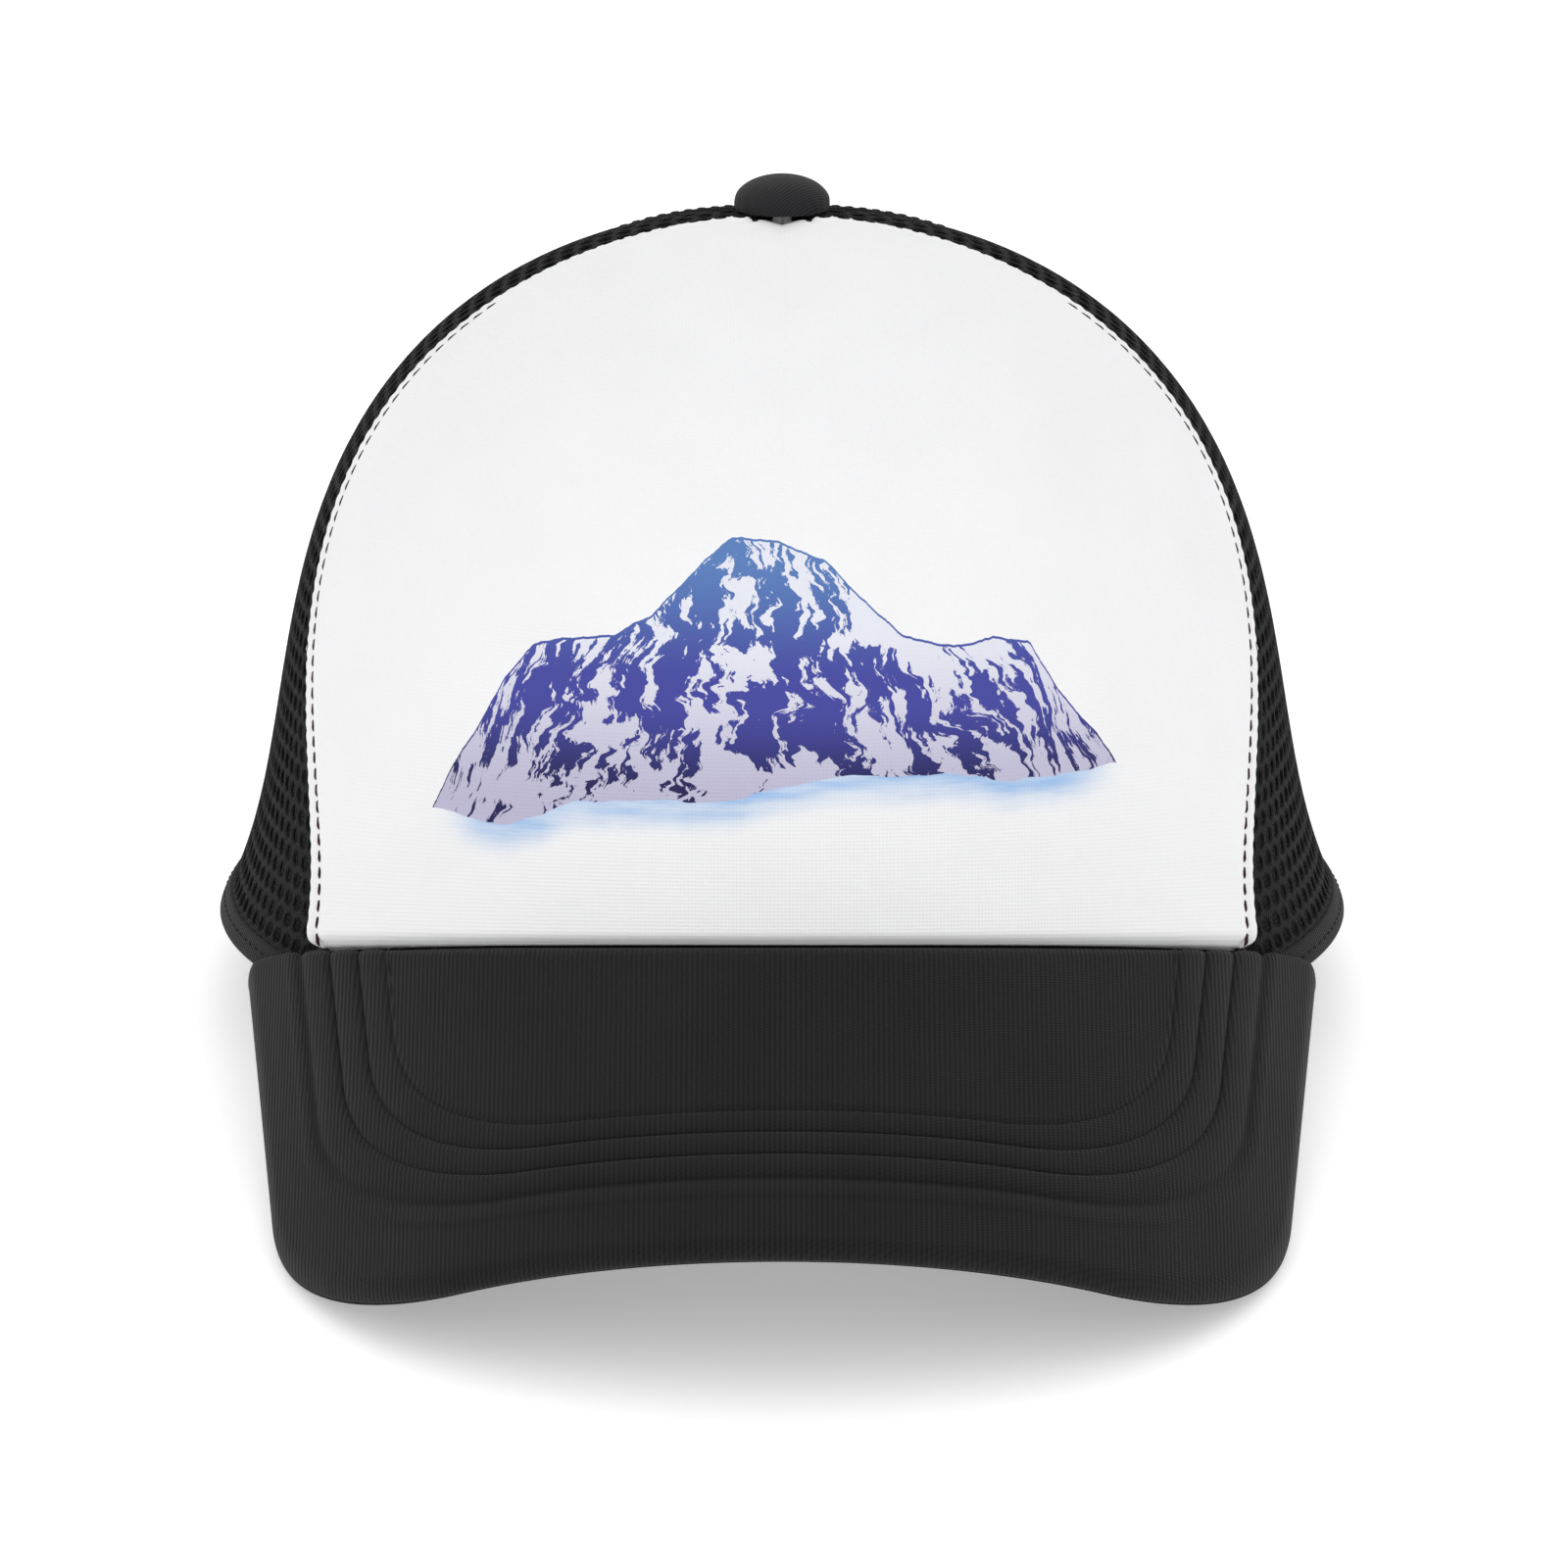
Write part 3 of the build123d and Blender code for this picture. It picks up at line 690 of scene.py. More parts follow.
def panel_points():
    """Heights and turns of the panel's grid, from the brim's seam up to the top."""
    share = (row_height - row_height[0]) / (PANEL_TOP - row_height[0])
    height = np.repeat(row_height[:, None], len(panel_columns), axis=1)
    for _ in range(12):
        above = np.clip(height - height[:1], 0, PANEL_CORNER)
        cut = PANEL_CORNER - np.sqrt(PANEL_CORNER**2 - (PANEL_CORNER - above) ** 2)
        turn = panel_columns[None, :] * (front_seam_turn(height) - cut / crown_axes(height)[0])
        bottom = panel_bottom(crown_skin(turn[0], height[0])[:, 0])
        height = bottom[None, :] + share[:, None] * (PANEL_TOP - bottom[None, :])
    return turn, np.maximum(height, 0.0)


panel_turn, panel_height = panel_points()
panel_skin = crown_skin(panel_turn, panel_height)
print("panel grid", panel_skin.shape, "seam length", round(seam_run[-1] / MM, 1), "mm")

# %% [markdown]
# ## How far the cloth is from its seams
# Everything that the sewing does to the panel depends on distance: to the edge, to the dart and
# to the brim. Sculpting would show the same dips, but a distance keeps them even all round.

# %% Panel distances
SCALLOP = 2.4 * MM                     # from one scallop to the next


def nearest(points, track, run):
    """Each point's distance to a track, and how far along the track it is."""
    flat = points.reshape(-1, 3)
    distance, place = np.empty(len(flat)), np.empty(len(flat))
    for first in range(0, len(flat), 4000):
        gaps = np.linalg.norm(flat[first:first + 4000, None] - track[None], axis=2)
        best = gaps.argmin(axis=1)
        distance[first:first + 4000] = gaps[np.arange(len(best)), best]
        place[first:first + 4000] = run[best]
    return distance.reshape(points.shape[:-1]), place.reshape(points.shape[:-1])


thin_track = seam_track[::15]
folded_skin = panel_skin.copy()
folded_skin[..., 0] = np.abs(folded_skin[..., 0])
edge_distance, edge_run = nearest(folded_skin, thin_track, seam_run[::15])
seam_above_brim = panel_skin[..., 2] - panel_bottom(panel_skin[..., 0])

# %% [markdown]
# ## What the sewing does to the panel
# The edge turns under, and the thread pulls it into small scallops. A soft ridge lies inside the
# row of thread. The dart sinks towards the button, and the cloth dips where it meets the brim.

# %% Panel relief
STITCH_INSET_TOP, STITCH_INSET_LOW = 2.3 * MM, 3.6 * MM


def stitch_inset(run):
    """How far inside the edge the thread runs: wider low down than at the top."""
    share = np.clip(run / (0.75 * seam_run[-1]), 0, 1)
    return STITCH_INSET_LOW + (STITCH_INSET_TOP - STITCH_INSET_LOW) * share


def smooth(value, low, high):
    """0 below low, 1 above high, and a smooth step between."""
    share = np.clip((value - low) / (high - low), 0, 1)
    return share * share * (3 - 2 * share)


def bump_at(distance, middle, width):
    """A soft ridge, 1 at its middle and 0 a width away."""
    return np.exp(-((distance - middle) / width) ** 2)


inset = stitch_inset(edge_run)
scallop = 0.5 + 0.5 * np.cos(2 * np.pi * edge_run / SCALLOP)
edge_rise = smooth(edge_distance, 0, 1.5 * MM)
panel_out = -0.9 * MM + 1.3 * MM * np.sqrt(edge_rise)
panel_out += (0.30 + 0.16 * scallop) * MM * bump_at(edge_distance, 0.5 * inset, 1.0 * MM)
panel_out -= (0.45 - 0.15 * scallop) * MM * bump_at(edge_distance, inset, 0.7 * MM)
panel_out += 0.18 * MM * bump_at(edge_distance, inset + 2.0 * MM, 1.4 * MM)
panel_out -= 1.6 * MM * (1 - smooth(seam_above_brim, 0, 3.0 * MM)) ** 2
dart_reach = smooth(panel_skin[..., 2], 78 * MM, 118 * MM)
panel_out -= dart_reach**2 * 1.5 * MM * bump_at(panel_skin[..., 0], 0, (2.0 + 3.0 * dart_reach) * MM)
centre_line = bump_at(panel_skin[..., 0], 0, 0.5 * MM) * smooth(panel_skin[..., 2], 60 * MM, 90 * MM)
panel_out -= 0.12 * MM * centre_line
wave = np.sin(panel_skin[..., 0] / (11 * MM) + 1.3) * np.sin(panel_skin[..., 2] / (17 * MM))
panel_out += 0.12 * MM * wave * smooth(edge_distance, 4 * MM, 14 * MM)
panel_face = panel_skin + crown_out(panel_turn, panel_height) * panel_out[..., None]

# %% Panel piece
panel_uv = np.zeros(panel_skin.shape[:2] + (2,))
arc = np.linalg.norm(np.diff(panel_skin, axis=1), axis=2)
panel_uv[:, 1:, 0] = np.cumsum(arc, axis=1)
panel_uv[..., 0] -= panel_uv[:, [len(panel_columns) // 2], 0]
rise = np.linalg.norm(np.diff(panel_skin[:, len(panel_columns) // 2], axis=0), axis=1)
panel_uv[1:, :, 1] = np.cumsum(rise)[:, None]
front_face = cloth_grid("front_face", panel_face, panel_uv, 0.7 * MM)
belongs(front_face, panel_cloth, ["front_panel_face"])
print("panel triangles", len(front_face.data.polygons) * 2)

# %% [markdown]
# ## The foam behind the panel
# The foam keeps the front standing. It fills the room between the face cloth and the lining,
# and it is about 3 mm thick in front and thinner towards the seams. A thick grid has an outer and an
# inner sheet of points that are joined round their border.

# %% Foam
FOAM_SHARE = 0.985                     # how much of the panel's width the foam fills


def lining_depth(turn):
    """How deep below the crown's skin the lining lies: under the foam in front, shallow behind."""
    return (1.8 + 2.0 * np.maximum(np.cos(turn), 0) ** 2) * MM


def thick_grid(name, outer, inner, uv):
    """A closed piece between two grids of the same size."""
    rows, columns = outer.shape[:2]
    count = rows * columns
    skin = grid_faces(rows, columns)
    index = np.arange(count).reshape(rows, columns)
    border = np.concatenate([index[0], index[1:, -1], index[-1, -2::-1], index[-2:0:-1, 0]])
    following = np.roll(border, -1)
    walls = np.stack([border, border + count, following + count, following], axis=1)
    points = np.concatenate([outer.reshape(-1, 3), inner.reshape(-1, 3)])
    faces = np.concatenate([skin, skin[:, ::-1] + count, walls])
    piece = new_mesh(name, stand(points), faces, np.concatenate([uv.reshape(-1, 2)] * 2))
    weld(piece)
    face_outwards(piece)
    return piece


def face_outwards(piece):
    """Turns every face of a closed piece to the outside."""
    choose(piece)
    bpy.ops.object.mode_set(mode="EDIT")
    bpy.ops.mesh.select_all(action="SELECT")
    bpy.ops.mesh.normals_make_consistent(inside=False)
    bpy.ops.object.mode_set(mode="OBJECT")


def coarse(grid):
    """Every seventh row and every other column of the panel's grid, its edges kept."""
    rows = np.unique(np.append(np.arange(0, grid.shape[0], 7), grid.shape[0] - 1))
    columns = np.unique(np.append(np.arange(0, grid.shape[1], 2), grid.shape[1] - 1))
    return grid[np.ix_(rows, columns)]


foam_turn, foam_height = coarse(panel_turn) * FOAM_SHARE, coarse(panel_height)
foam_outer = crown_point(foam_turn, foam_height, coarse(panel_out) - 0.75 * MM)
under_face = 0.85 * MM - coarse(panel_out) + 0.6 * MM
foam_inner = crown_point(foam_turn, foam_height, -np.maximum(lining_depth(foam_turn), under_face))
front_foam = thick_grid("front_foam", foam_outer, foam_inner, coarse(panel_uv))
belongs(front_foam, panel_foam, ["front_panel_foam"])

# %% [markdown]
# ## The net
# The sides and back are polyester net: rows of rounded holes 3.9 mm apart in a six-sided
# pattern, with strands about 1.3 mm wide. A transparent texture would look flat, so every
# hole here is real. Each cell has five rings of points: crest, shoulder and hole edge, then
# shoulder and crest again on the inside. Cells cut by a seam are squeezed on to it.

# %% Net cells
NET_ACROSS, NET_UP = 3.9 * MM, 3.4 * MM
HOLE_WIDTH, HOLE_HEIGHT = 1.28 * MM, 1.18 * MM
YARN_RISE = 0.34 * MM
NET_DEPTH = 0.6 * MM
NET_HALF_COLUMNS = 22                  # cells laid to each side of a gore's middle
NET_START = -6 * MM                    # the net is laid from below the rim, then cut to it
FAN_MARGIN = 0.9                       # radians measured beyond a gore's seams
ARCH_MIDDLE, ARCH_RADIUS, BINDING_WIDTH = 12 * MM, 40 * MM, 8 * MM
BINDING_LAP = 2 * MM                   # how far the binding covers the net and the hem


def cell_rings():
    """One net cell: five rings of twelve points as across, up and out."""
    angles = np.radians(np.arange(12) * 30 + 90)
    corner = np.stack([np.cos(angles) * NET_ACROSS / math.sqrt(3), np.sin(angles) * NET_UP / 1.5], axis=1)
    corner[1::2] = (corner[0::2] + np.roll(corner[0::2], -1, axis=0)) / 2
    hole = np.stack([np.cos(angles) * HOLE_WIDTH, np.sin(angles) * HOLE_HEIGHT], axis=1)
    shoulder = corner * 0.45 + hole * 0.55
    rings = []
    for flat, rise in ((corner, 1), (shoulder, 0.8), (hole, 0), (shoulder, -0.8), (corner, -1)):
        rings.append(np.column_stack([flat, np.full(12, rise * YARN_RISE)]))
    return np.concatenate(rings)


def cell_faces():
    """The faces of one cell, between each ring and the next."""
    return [[ring * 12 + i, ring * 12 + (i + 1) % 12, (ring + 1) * 12 + (i + 1) % 12, (ring + 1) * 12 + i]
            for ring in range(4) for i in range(12)]


def turns_across(across, height, first_turn, last_turn):
    """How far round the crown points are, from how far they lie to the side of a gore's middle."""
    turn = np.empty_like(height)
    keys, inverse = np.unique(np.round(height, 8), return_inverse=True)
    inverse = inverse.reshape(height.shape)
    order = np.argsort(inverse.ravel(), kind="stable")
    starts = np.searchsorted(inverse.ravel()[order], np.arange(len(keys) + 1))
    flat_across, flat_turn = across.ravel(), turn.ravel()
    for number, level in enumerate(keys):
        members = order[starts[number]:starts[number + 1]]
        start, end = float(first_turn(level)), float(last_turn(level))
        fan = np.linspace(start - FAN_MARGIN, end + FAN_MARGIN, 160)
        reach = run_along(crown_skin(fan, level))
        reach -= np.interp((start + end) / 2, fan, reach)
        flat_turn[members] = np.interp(flat_across[members], reach, fan)
    return flat_turn.reshape(height.shape)


def clear_of_arch(turn, height):
    """Moves points that would lie in the arch out to its binding, and says which they were."""
    x = crown_axes(height)[0] * np.sin(turn)
    edge = ARCH_RADIUS + BINDING_WIDTH - BINDING_LAP
    above = height > ARCH_MIDDLE
    distance = np.where(above, np.hypot(x, height - ARCH_MIDDLE), np.abs(x))
    inside = distance < edge
    grow = np.where(inside, edge / np.maximum(distance, 1e-6), 1.0)
    height = np.where(inside & above, ARCH_MIDDLE + (height - ARCH_MIDDLE) * grow, height)
    return np.where(inside, turn_at(x * grow, height), turn), height, inside


def lay_net(name, first_turn, last_turn, top, stands_for, arch=False):
    """A net gore between two seams, for the wearer's left and, mirrored, the right."""
    heights = np.linspace(NET_START, top, 1200)
    middle = (first_turn(heights) + last_turn(heights)) / 2
    run = run_along(crown_skin(middle, heights))
    run -= np.interp(0, heights, run)
    rows, columns = int(run[-1] / NET_UP) + 2, NET_HALF_COLUMNS
    row, column = np.meshgrid(np.arange(-2, rows), np.arange(-columns, columns + 1), indexing="ij")
    centres = np.stack([(column + 0.5 * (row % 2)) * NET_ACROSS, row * NET_UP], axis=-1).reshape(-1, 2)
    rings = cell_rings()
    across = centres[:, None, 0] + rings[None, :, 0]
    up = centres[:, None, 1] + rings[None, :, 1]
    height = np.interp(up, run, heights)
    turn = turns_across(across, height, first_turn, last_turn)
    low, high = first_turn(height), last_turn(height)
    held = (turn <= low) | (turn >= high) | (height >= top - 1e-7)
    turn = np.clip(turn, low, high)
    rim = rim_height(crown_skin(turn, np.maximum(height, 0))) + 0.2 * MM
    held |= height <= rim
    height = np.maximum(height, rim)
    if arch:
        turn, height, inside = clear_of_arch(turn, height)
        held |= inside
    kept = ~held[:, :12].all(axis=1)
    turn, height, held, across, up = (a[kept] for a in (turn, height, held, across, up))
    out = np.where(held, 0.0, rings[None, :, 2]) - NET_DEPTH
    points = crown_point(turn, height, out).reshape(-1, 3)
    cells = np.arange(len(turn))[:, None, None] * len(rings)
    faces = (np.array(cell_faces())[None] + cells).reshape(-1, 4)
    faces = faces[~held.reshape(-1)[faces].all(axis=1)]
    uv = np.stack([across, up], axis=-1).reshape(-1, 2)
    for side_name, mirror, node in (("left", 1, stands_for + "_left"), ("right", -1, stands_for + "_right")):
        ring_faces = faces[:, ::-1] if mirror > 0 else faces
        piece = new_mesh(f"{name}_{side_name}", stand(points * (mirror, 1, 1)), ring_faces, uv)
        weld(piece)
        belongs(piece, net_yarn, [node])
    print(name, "cells", len(turn), "faces", len(faces))


NET_TOP = closest_top(10 * MM)
NET_TUCK = 1.5 * MM                    # how far the net reaches under the front panel


def under_panel_edge(height):
    """The net's front edge, tucked under the front panel."""
    return front_seam_turn(height) - NET_TUCK / crown_axes(height)[1]


def back_middle(height):
    """The seam down the middle of the back."""
    return np.full_like(np.asarray(height, float), np.pi)


lay_net("side_net", under_panel_edge, side_seam_turn, NET_TOP, "side_mesh")
lay_net("back_net", side_seam_turn, back_middle, NET_TOP, "back_mesh", arch=True)


# %% [markdown]
# ## Ribbons: seams, hem, binding and tapes
# A felled seam, a hem, a folded binding and a sewn tape are all narrow bands that follow a line
# on the crown. Each is one rounded outline carried along its line, so that its edges catch the
# light, and its ends are closed.


# %% Ribbon helper
def band_outline(width, thickness, square=0.5, count=20, crease=0.0):
    """A rounded flat outline round a ribbon, as across and out; crease sinks its middle."""
    angle = np.linspace(0, 2 * np.pi, count, endpoint=False)
    across = np.sign(np.cos(angle)) * np.abs(np.cos(angle)) ** square * width / 2
    out = np.sign(np.sin(angle)) * np.abs(np.sin(angle)) ** square * thickness / 2
    out -= crease * np.exp(-((across / (0.12 * width)) ** 2)) * (out > 0)
    return np.stack([across, out], axis=1)


def frames_along(points, out):
    """The direction across a line of points, in the surface."""
    ahead = unit(np.gradient(points, axis=0))
    return unit(np.cross(ahead, out))


def ribbon(name, points, out, outline, material, stands_for=()):
    """A band with the given outline, carried along a line of points."""
    across = frames_along(points, out)
    looped = np.concatenate([outline, outline[:1]])
    rings = (points[:, None] + across[:, None] * looped[None, :, :1] + out[:, None] * looped[None, :, 1:])
    run = run_along(points)
    round_run = run_along(looped)
    uv = np.stack(np.meshgrid(run, round_run, indexing="ij"), axis=-1)
    rows, columns = rings.shape[:2]
    faces = grid_faces(rows, columns).tolist()
    faces.append(list(range(columns - 1)))
    faces.append([(rows - 1) * columns + i for i in range(columns - 1)][::-1])
    mesh_points = stand(rings).reshape(-1, 3)
    piece = new_mesh(name, mesh_points, faces, uv)
    weld(piece)
    face_outwards(piece)
    return belongs(piece, material, stands_for)


def even_line(turn, height, spacing=1.2 * MM):
    """The same line on the crown, with evenly spaced points."""
    track = crown_skin(turn, height)
    run = run_along(track)
    places = np.linspace(0, run[-1], max(int(run[-1] / spacing), 8))
    return np.interp(places, run, np.unwrap(turn)), np.interp(places, run, height)


def mirrored(name, line, mirror):
    """The name and the line for the wearer's left (mirror 1) or right (mirror -1)."""
    turn, height = line
    return f"{name}_{'left' if mirror > 0 else 'right'}", turn * mirror, height


# %% [markdown]
# ## Felled seams and the hem
# Between the gores a folded strip of cloth 5 mm wide covers the net's cut edges, with a crease
# along its middle. The rim is turned up and sewn in the same way from the panel to the arch.

# %% Seams and hem outside
fine_heights = np.linspace(0, NET_TOP, 3000)
side_line = even_line(side_seam_turn(fine_heights), fine_heights)
back_seam_heights = np.linspace(ARCH_MIDDLE + ARCH_RADIUS + BINDING_WIDTH - 1 * MM, NET_TOP, 2000)
back_line = even_line(np.full(2000, np.pi), back_seam_heights)
seam_outline = band_outline(5.0 * MM, 1.3 * MM, crease=0.55 * MM)


def hem_line():
    """The crown's rim from the front panel's corner round to the arch."""
    start = float(front_seam_turn(6 * MM)) - 0.04
    end = float(turn_at(ARCH_RADIUS + BINDING_WIDTH - BINDING_LAP, 3 * MM))
    turn = np.linspace(start, end, 400)
    return even_line(turn, rim_height(crown_skin(turn, np.zeros(400))) + 2.2 * MM)


hem = hem_line()
for mirror in (1, -1):
    label, turn, height = mirrored("side_seam", side_line, mirror)
    ribbon(label, crown_point(turn, height, -0.5 * MM), crown_out(turn, height), seam_outline,
           trim_cloth)
    label, turn, height = mirrored("rim_hem", hem, mirror)
    ribbon(label, crown_point(turn, height, -0.55 * MM), crown_out(turn, height),
           band_outline(4.4 * MM, 1.5 * MM), trim_cloth)
back_turn, back_height = back_line
ribbon("back_seam", crown_point(back_turn, back_height, -0.5 * MM), crown_out(back_turn, back_height),
       seam_outline, trim_cloth)

# %% [markdown]
# ## The binding round the arch
# A folded tape takes the arch's raw edge between its two layers. Its line is a half circle with
# a short straight leg at each side, so it is worked out and not drawn.

# %% Arch binding
arch_angle = np.linspace(-math.pi / 2, math.pi / 2, 120)
arch_middle_radius = ARCH_RADIUS + BINDING_WIDTH / 2
leg = np.linspace(0.6 * MM, ARCH_MIDDLE, 12)[:-1]
arch_x = np.concatenate([np.full(11, -arch_middle_radius), arch_middle_radius * np.sin(arch_angle),
                         np.full(11, arch_middle_radius)])
arch_z = np.concatenate([leg, ARCH_MIDDLE + arch_middle_radius * np.cos(arch_angle), leg[::-1]])
arch_turn = np.unwrap(turn_at(arch_x, arch_z))
arch_points = crown_point(arch_turn, arch_z, -0.6 * MM)
arch_out = crown_out(arch_turn, arch_z)
arch_tape = ribbon("arch_tape", arch_points, arch_out, band_outline(BINDING_WIDTH, 2.3 * MM, 0.45, 28),
                   trim_cloth, ["arch_binding"])

# %% [markdown]
# ## Inside: tapes and sweatband
# Each seam is covered inside by a flat tape 10 mm wide, and a brushed cotton sweatband 32 mm
# wide runs round the rim. All of them are seen through the net and from below.

# %% Inside tapes


def inside_tape(name, line, stands_for):
    """A tape sewn under a seam."""
    turn, height = line
    out = crown_out(turn, height)
    points = crown_skin(turn, height) - out * (lining_depth(turn) + 0.35 * MM)[:, None]
    outline = band_outline(10 * MM, 0.7 * MM, 0.4)
    tape = ribbon(name, points, out, outline, trim_cloth, [stands_for])
    return tape


def length_of(line):
    """How long a line on the crown is."""
    return float(np.linalg.norm(np.diff(crown_skin(*line), axis=0), axis=1).sum())


front_tape_heights = np.linspace(36 * MM, closest_top(22 * MM), 2000)
side_tape_heights = np.linspace(33 * MM, closest_top(20 * MM), 2000)
back_tape_heights = np.linspace(61 * MM, closest_top(15 * MM), 2000)
front_tape_line = even_line(front_seam_turn(front_tape_heights), front_tape_heights)
side_tape_line = even_line(side_seam_turn(side_tape_heights), side_tape_heights)
back_tape_line = even_line(np.full(2000, np.pi), back_tape_heights)
for mirror in (1, -1):
    for kind, line in (("front", front_tape_line), ("side", side_tape_line)):
        label, turn, height = mirrored(f"{kind}_tape", line, mirror)
        node = label.replace("_tape", "_seam_tape")
        inside_tape(label, (turn, height), node)
inside_tape("back_tape", back_tape_line, "back_seam_tape")
for line in (front_tape_line, side_tape_line, back_tape_line):
    print("tape, mm:", round(length_of(line) / MM))

# %% [markdown]
# ## The sweatband
# The band is a soft tube of cloth that lies against the rim. It is plumpest halfway up, and small
# gathers run along it where it follows the curve of the head. It ends at the arch.

# %% Sweatband
BAND_WIDTH = 32 * MM
GATHER_DEPTH, GATHER_PACE = 0.10 * MM, 150
band_share = np.linspace(0, 1, 15)
band_columns = np.linspace(-1, 1, 261)
base_turn = band_columns * float(turn_at(ARCH_RADIUS, 0.0))
band_rim = rim_height(crown_skin(base_turn, np.zeros(261)))
band_height = band_rim[None, :] + band_share[:, None] * BAND_WIDTH
above_middle = np.maximum(band_height[:, 0] - ARCH_MIDDLE, 0)
arch_side = np.sqrt(np.maximum(ARCH_RADIUS**2 - above_middle**2, 0)) + 0.3 * MM
band_end = turn_at(arch_side, band_height[:, 0])
band_turn = band_columns[None, :] * band_end[:, None]
band_depth = lining_depth(band_turn)
plump = np.sin(np.pi * np.clip(band_share, 0.02, 0.98)) ** 0.5
gather = GATHER_DEPTH * np.sin(band_columns * GATHER_PACE)
band_outer = crown_point(band_turn, band_height, -band_depth)
band_thickness = 0.7 * MM + plump[:, None] * 0.6 * MM + gather[None, :]
band_inner = crown_point(band_turn, band_height, -band_depth - band_thickness)
band_run = run_along(band_outer[0])
band_uv = np.stack(np.meshgrid(band_share * BAND_WIDTH, band_run, indexing="ij")[::-1], axis=-1)
sweatband = thick_grid("sweat_band", band_outer, band_inner, band_uv)
belongs(sweatband, band_cloth, ["sweatband"])
print("sweatband length, mm:", round(band_run[-1] / MM))

# %% [markdown]
# ## The brim
# Cloth covers the brim board above and below, and four rows of long stitches run parallel to
# its edge. A rectangle of points would cut across those rows, so the grid's lines are copies
# of the brim's outline: each one steps inwards from the rolled edge to the crown's seam.

# %% Brim outline
FRONT_ARC = 262.0 * MM                 # radius of the brim's front edge
FRONT_ARC_MIDDLE = -199.3 * MM         # its centre, counted forward from the brim's seam
SIDE_HALF_WIDTH, SIDE_SPREAD = 78.7 * MM, 0.1004
CORNER_AHEAD = 50.6 * MM
CORNER_TURN = math.radians(66.8)       # how far the outline turns at a front corner
ROW_STEPS = [0, 1, 2, 3, 4]            # the outline, then the four stitch rows
ROW_SIDE_INSET = np.array([0, 8.4, 12.8, 17.2, 21.8]) * MM
ROW_FRONT_INSET = np.array([0, 14.4, 19.0, 23.6, 28.2]) * MM
ROW_CORNER = np.array([44, 44, 44, 41, 40]) * MM
HALF_FRONT, HALF_CORNER, HALF_SIDE = 50, 40, 56


def side_x(ahead, inset):
    """The brim's half width, some way ahead, less an inset."""
    return SIDE_HALF_WIDTH + SIDE_SPREAD * (CORNER_AHEAD - ahead) - inset


def brim_line(side_inset, front_inset, corner):
    """A copy of the brim's outline moved inwards, from one side of the crown to the other."""
    radius = FRONT_ARC - front_inset
    x = side_x(CORNER_AHEAD, side_inset)
    for _ in range(6):
        ahead = FRONT_ARC_MIDDLE + math.sqrt(radius**2 - x**2)
        x = side_x(ahead, side_inset)
    tip = np.array([x, ahead])
    back = np.array([SIDE_SPREAD, -1.0]) / math.hypot(SIDE_SPREAD, 1)
    reach = corner * math.tan(CORNER_TURN / 2)
    handle = corner * 4 / 3 * math.tan(CORNER_TURN / 4)
    angle = math.asin(x / radius) - reach / radius
    start = np.array([radius * math.sin(angle), FRONT_ARC_MIDDLE + radius * math.cos(angle)])
    heading = np.array([math.cos(angle), -math.sin(angle)])
    end = tip + back * reach
    sweep = np.linspace(0, angle, HALF_FRONT)
    front = np.stack([radius * np.sin(sweep), FRONT_ARC_MIDDLE + radius * np.cos(sweep)], axis=1)
    t = np.linspace(0, 1, HALF_CORNER + 1)[1:, None]
    curve = ((1 - t)**3 * start + 3 * (1 - t)**2 * t * (start + heading * handle)
             + 3 * (1 - t) * t**2 * (end - back * handle) + t**3 * end)
    stop = end[1]
    for _ in range(30):
        stop = float(brim_meets_crown(np.array([side_x(stop, side_inset)]))[0])
    ahead = np.linspace(end[1], stop, HALF_SIDE + 1)[1:]
    side = np.stack([side_x(ahead, side_inset), ahead], axis=1)
    half = np.concatenate([front, curve, side])
    return np.concatenate([half[:0:-1] * (-1, 1), half])


def brim_row(step):
    """The line at a step inwards: whole steps from 1 to 4 are the stitch rows."""
    values = [float(np.interp(step, ROW_STEPS, row)) for row in (ROW_SIDE_INSET, ROW_FRONT_INSET, ROW_CORNER)]
    return brim_line(*values)


# %% [markdown]
# ## The brim's two covers
# The top cover rolls over the edge and the under cover meets it there. Each stitch row has
# seven close lines of its own, for the groove that the thread makes, and the cloth is slightly
# puffed between rows.

# %% Brim grid
EDGE_RADIUS = 1.8 * MM
SIDE_LEAN = 0.6                        # the side's slope shortens an inset seen from above
ROW_GAP = 4.6 * MM


def brim_lines(edge_angles, steps, inner_count):
    """Lines from the rolled edge inwards to the crown, with how deep and how far in each is."""
    lines, sinks, step_values = [], [], []
    for angle in edge_angles:
        inset = EDGE_RADIUS * (1 - math.sin(angle))
        lines.append(brim_line(inset * SIDE_LEAN, inset, ROW_CORNER[0] - inset))
        sinks.append(EDGE_RADIUS * (1 - math.cos(angle)))
        step_values.append(0.0)
    flat_sink = sinks[-1]
    for step in steps:
        lines.append(brim_row(step))
        sinks.append(flat_sink)
        step_values.append(step)
    last = lines[-1]
    half = len(last) // 2
    run = run_along(last[half:])
    seam_x = last[-1, 0] * run / run[-1]
    seam_x = np.concatenate([-seam_x[:0:-1], seam_x])
    seam = np.stack([seam_x, brim_meets_crown(seam_x)], axis=1)
    for share in np.linspace(0, 1, inner_count + 1)[1:]:
        lines.append(last * (1 - share) + seam * share)
        sinks.append(flat_sink)
        step_values.append(5.0 + share)
    return np.array(lines), np.array(sinks), np.array(step_values)


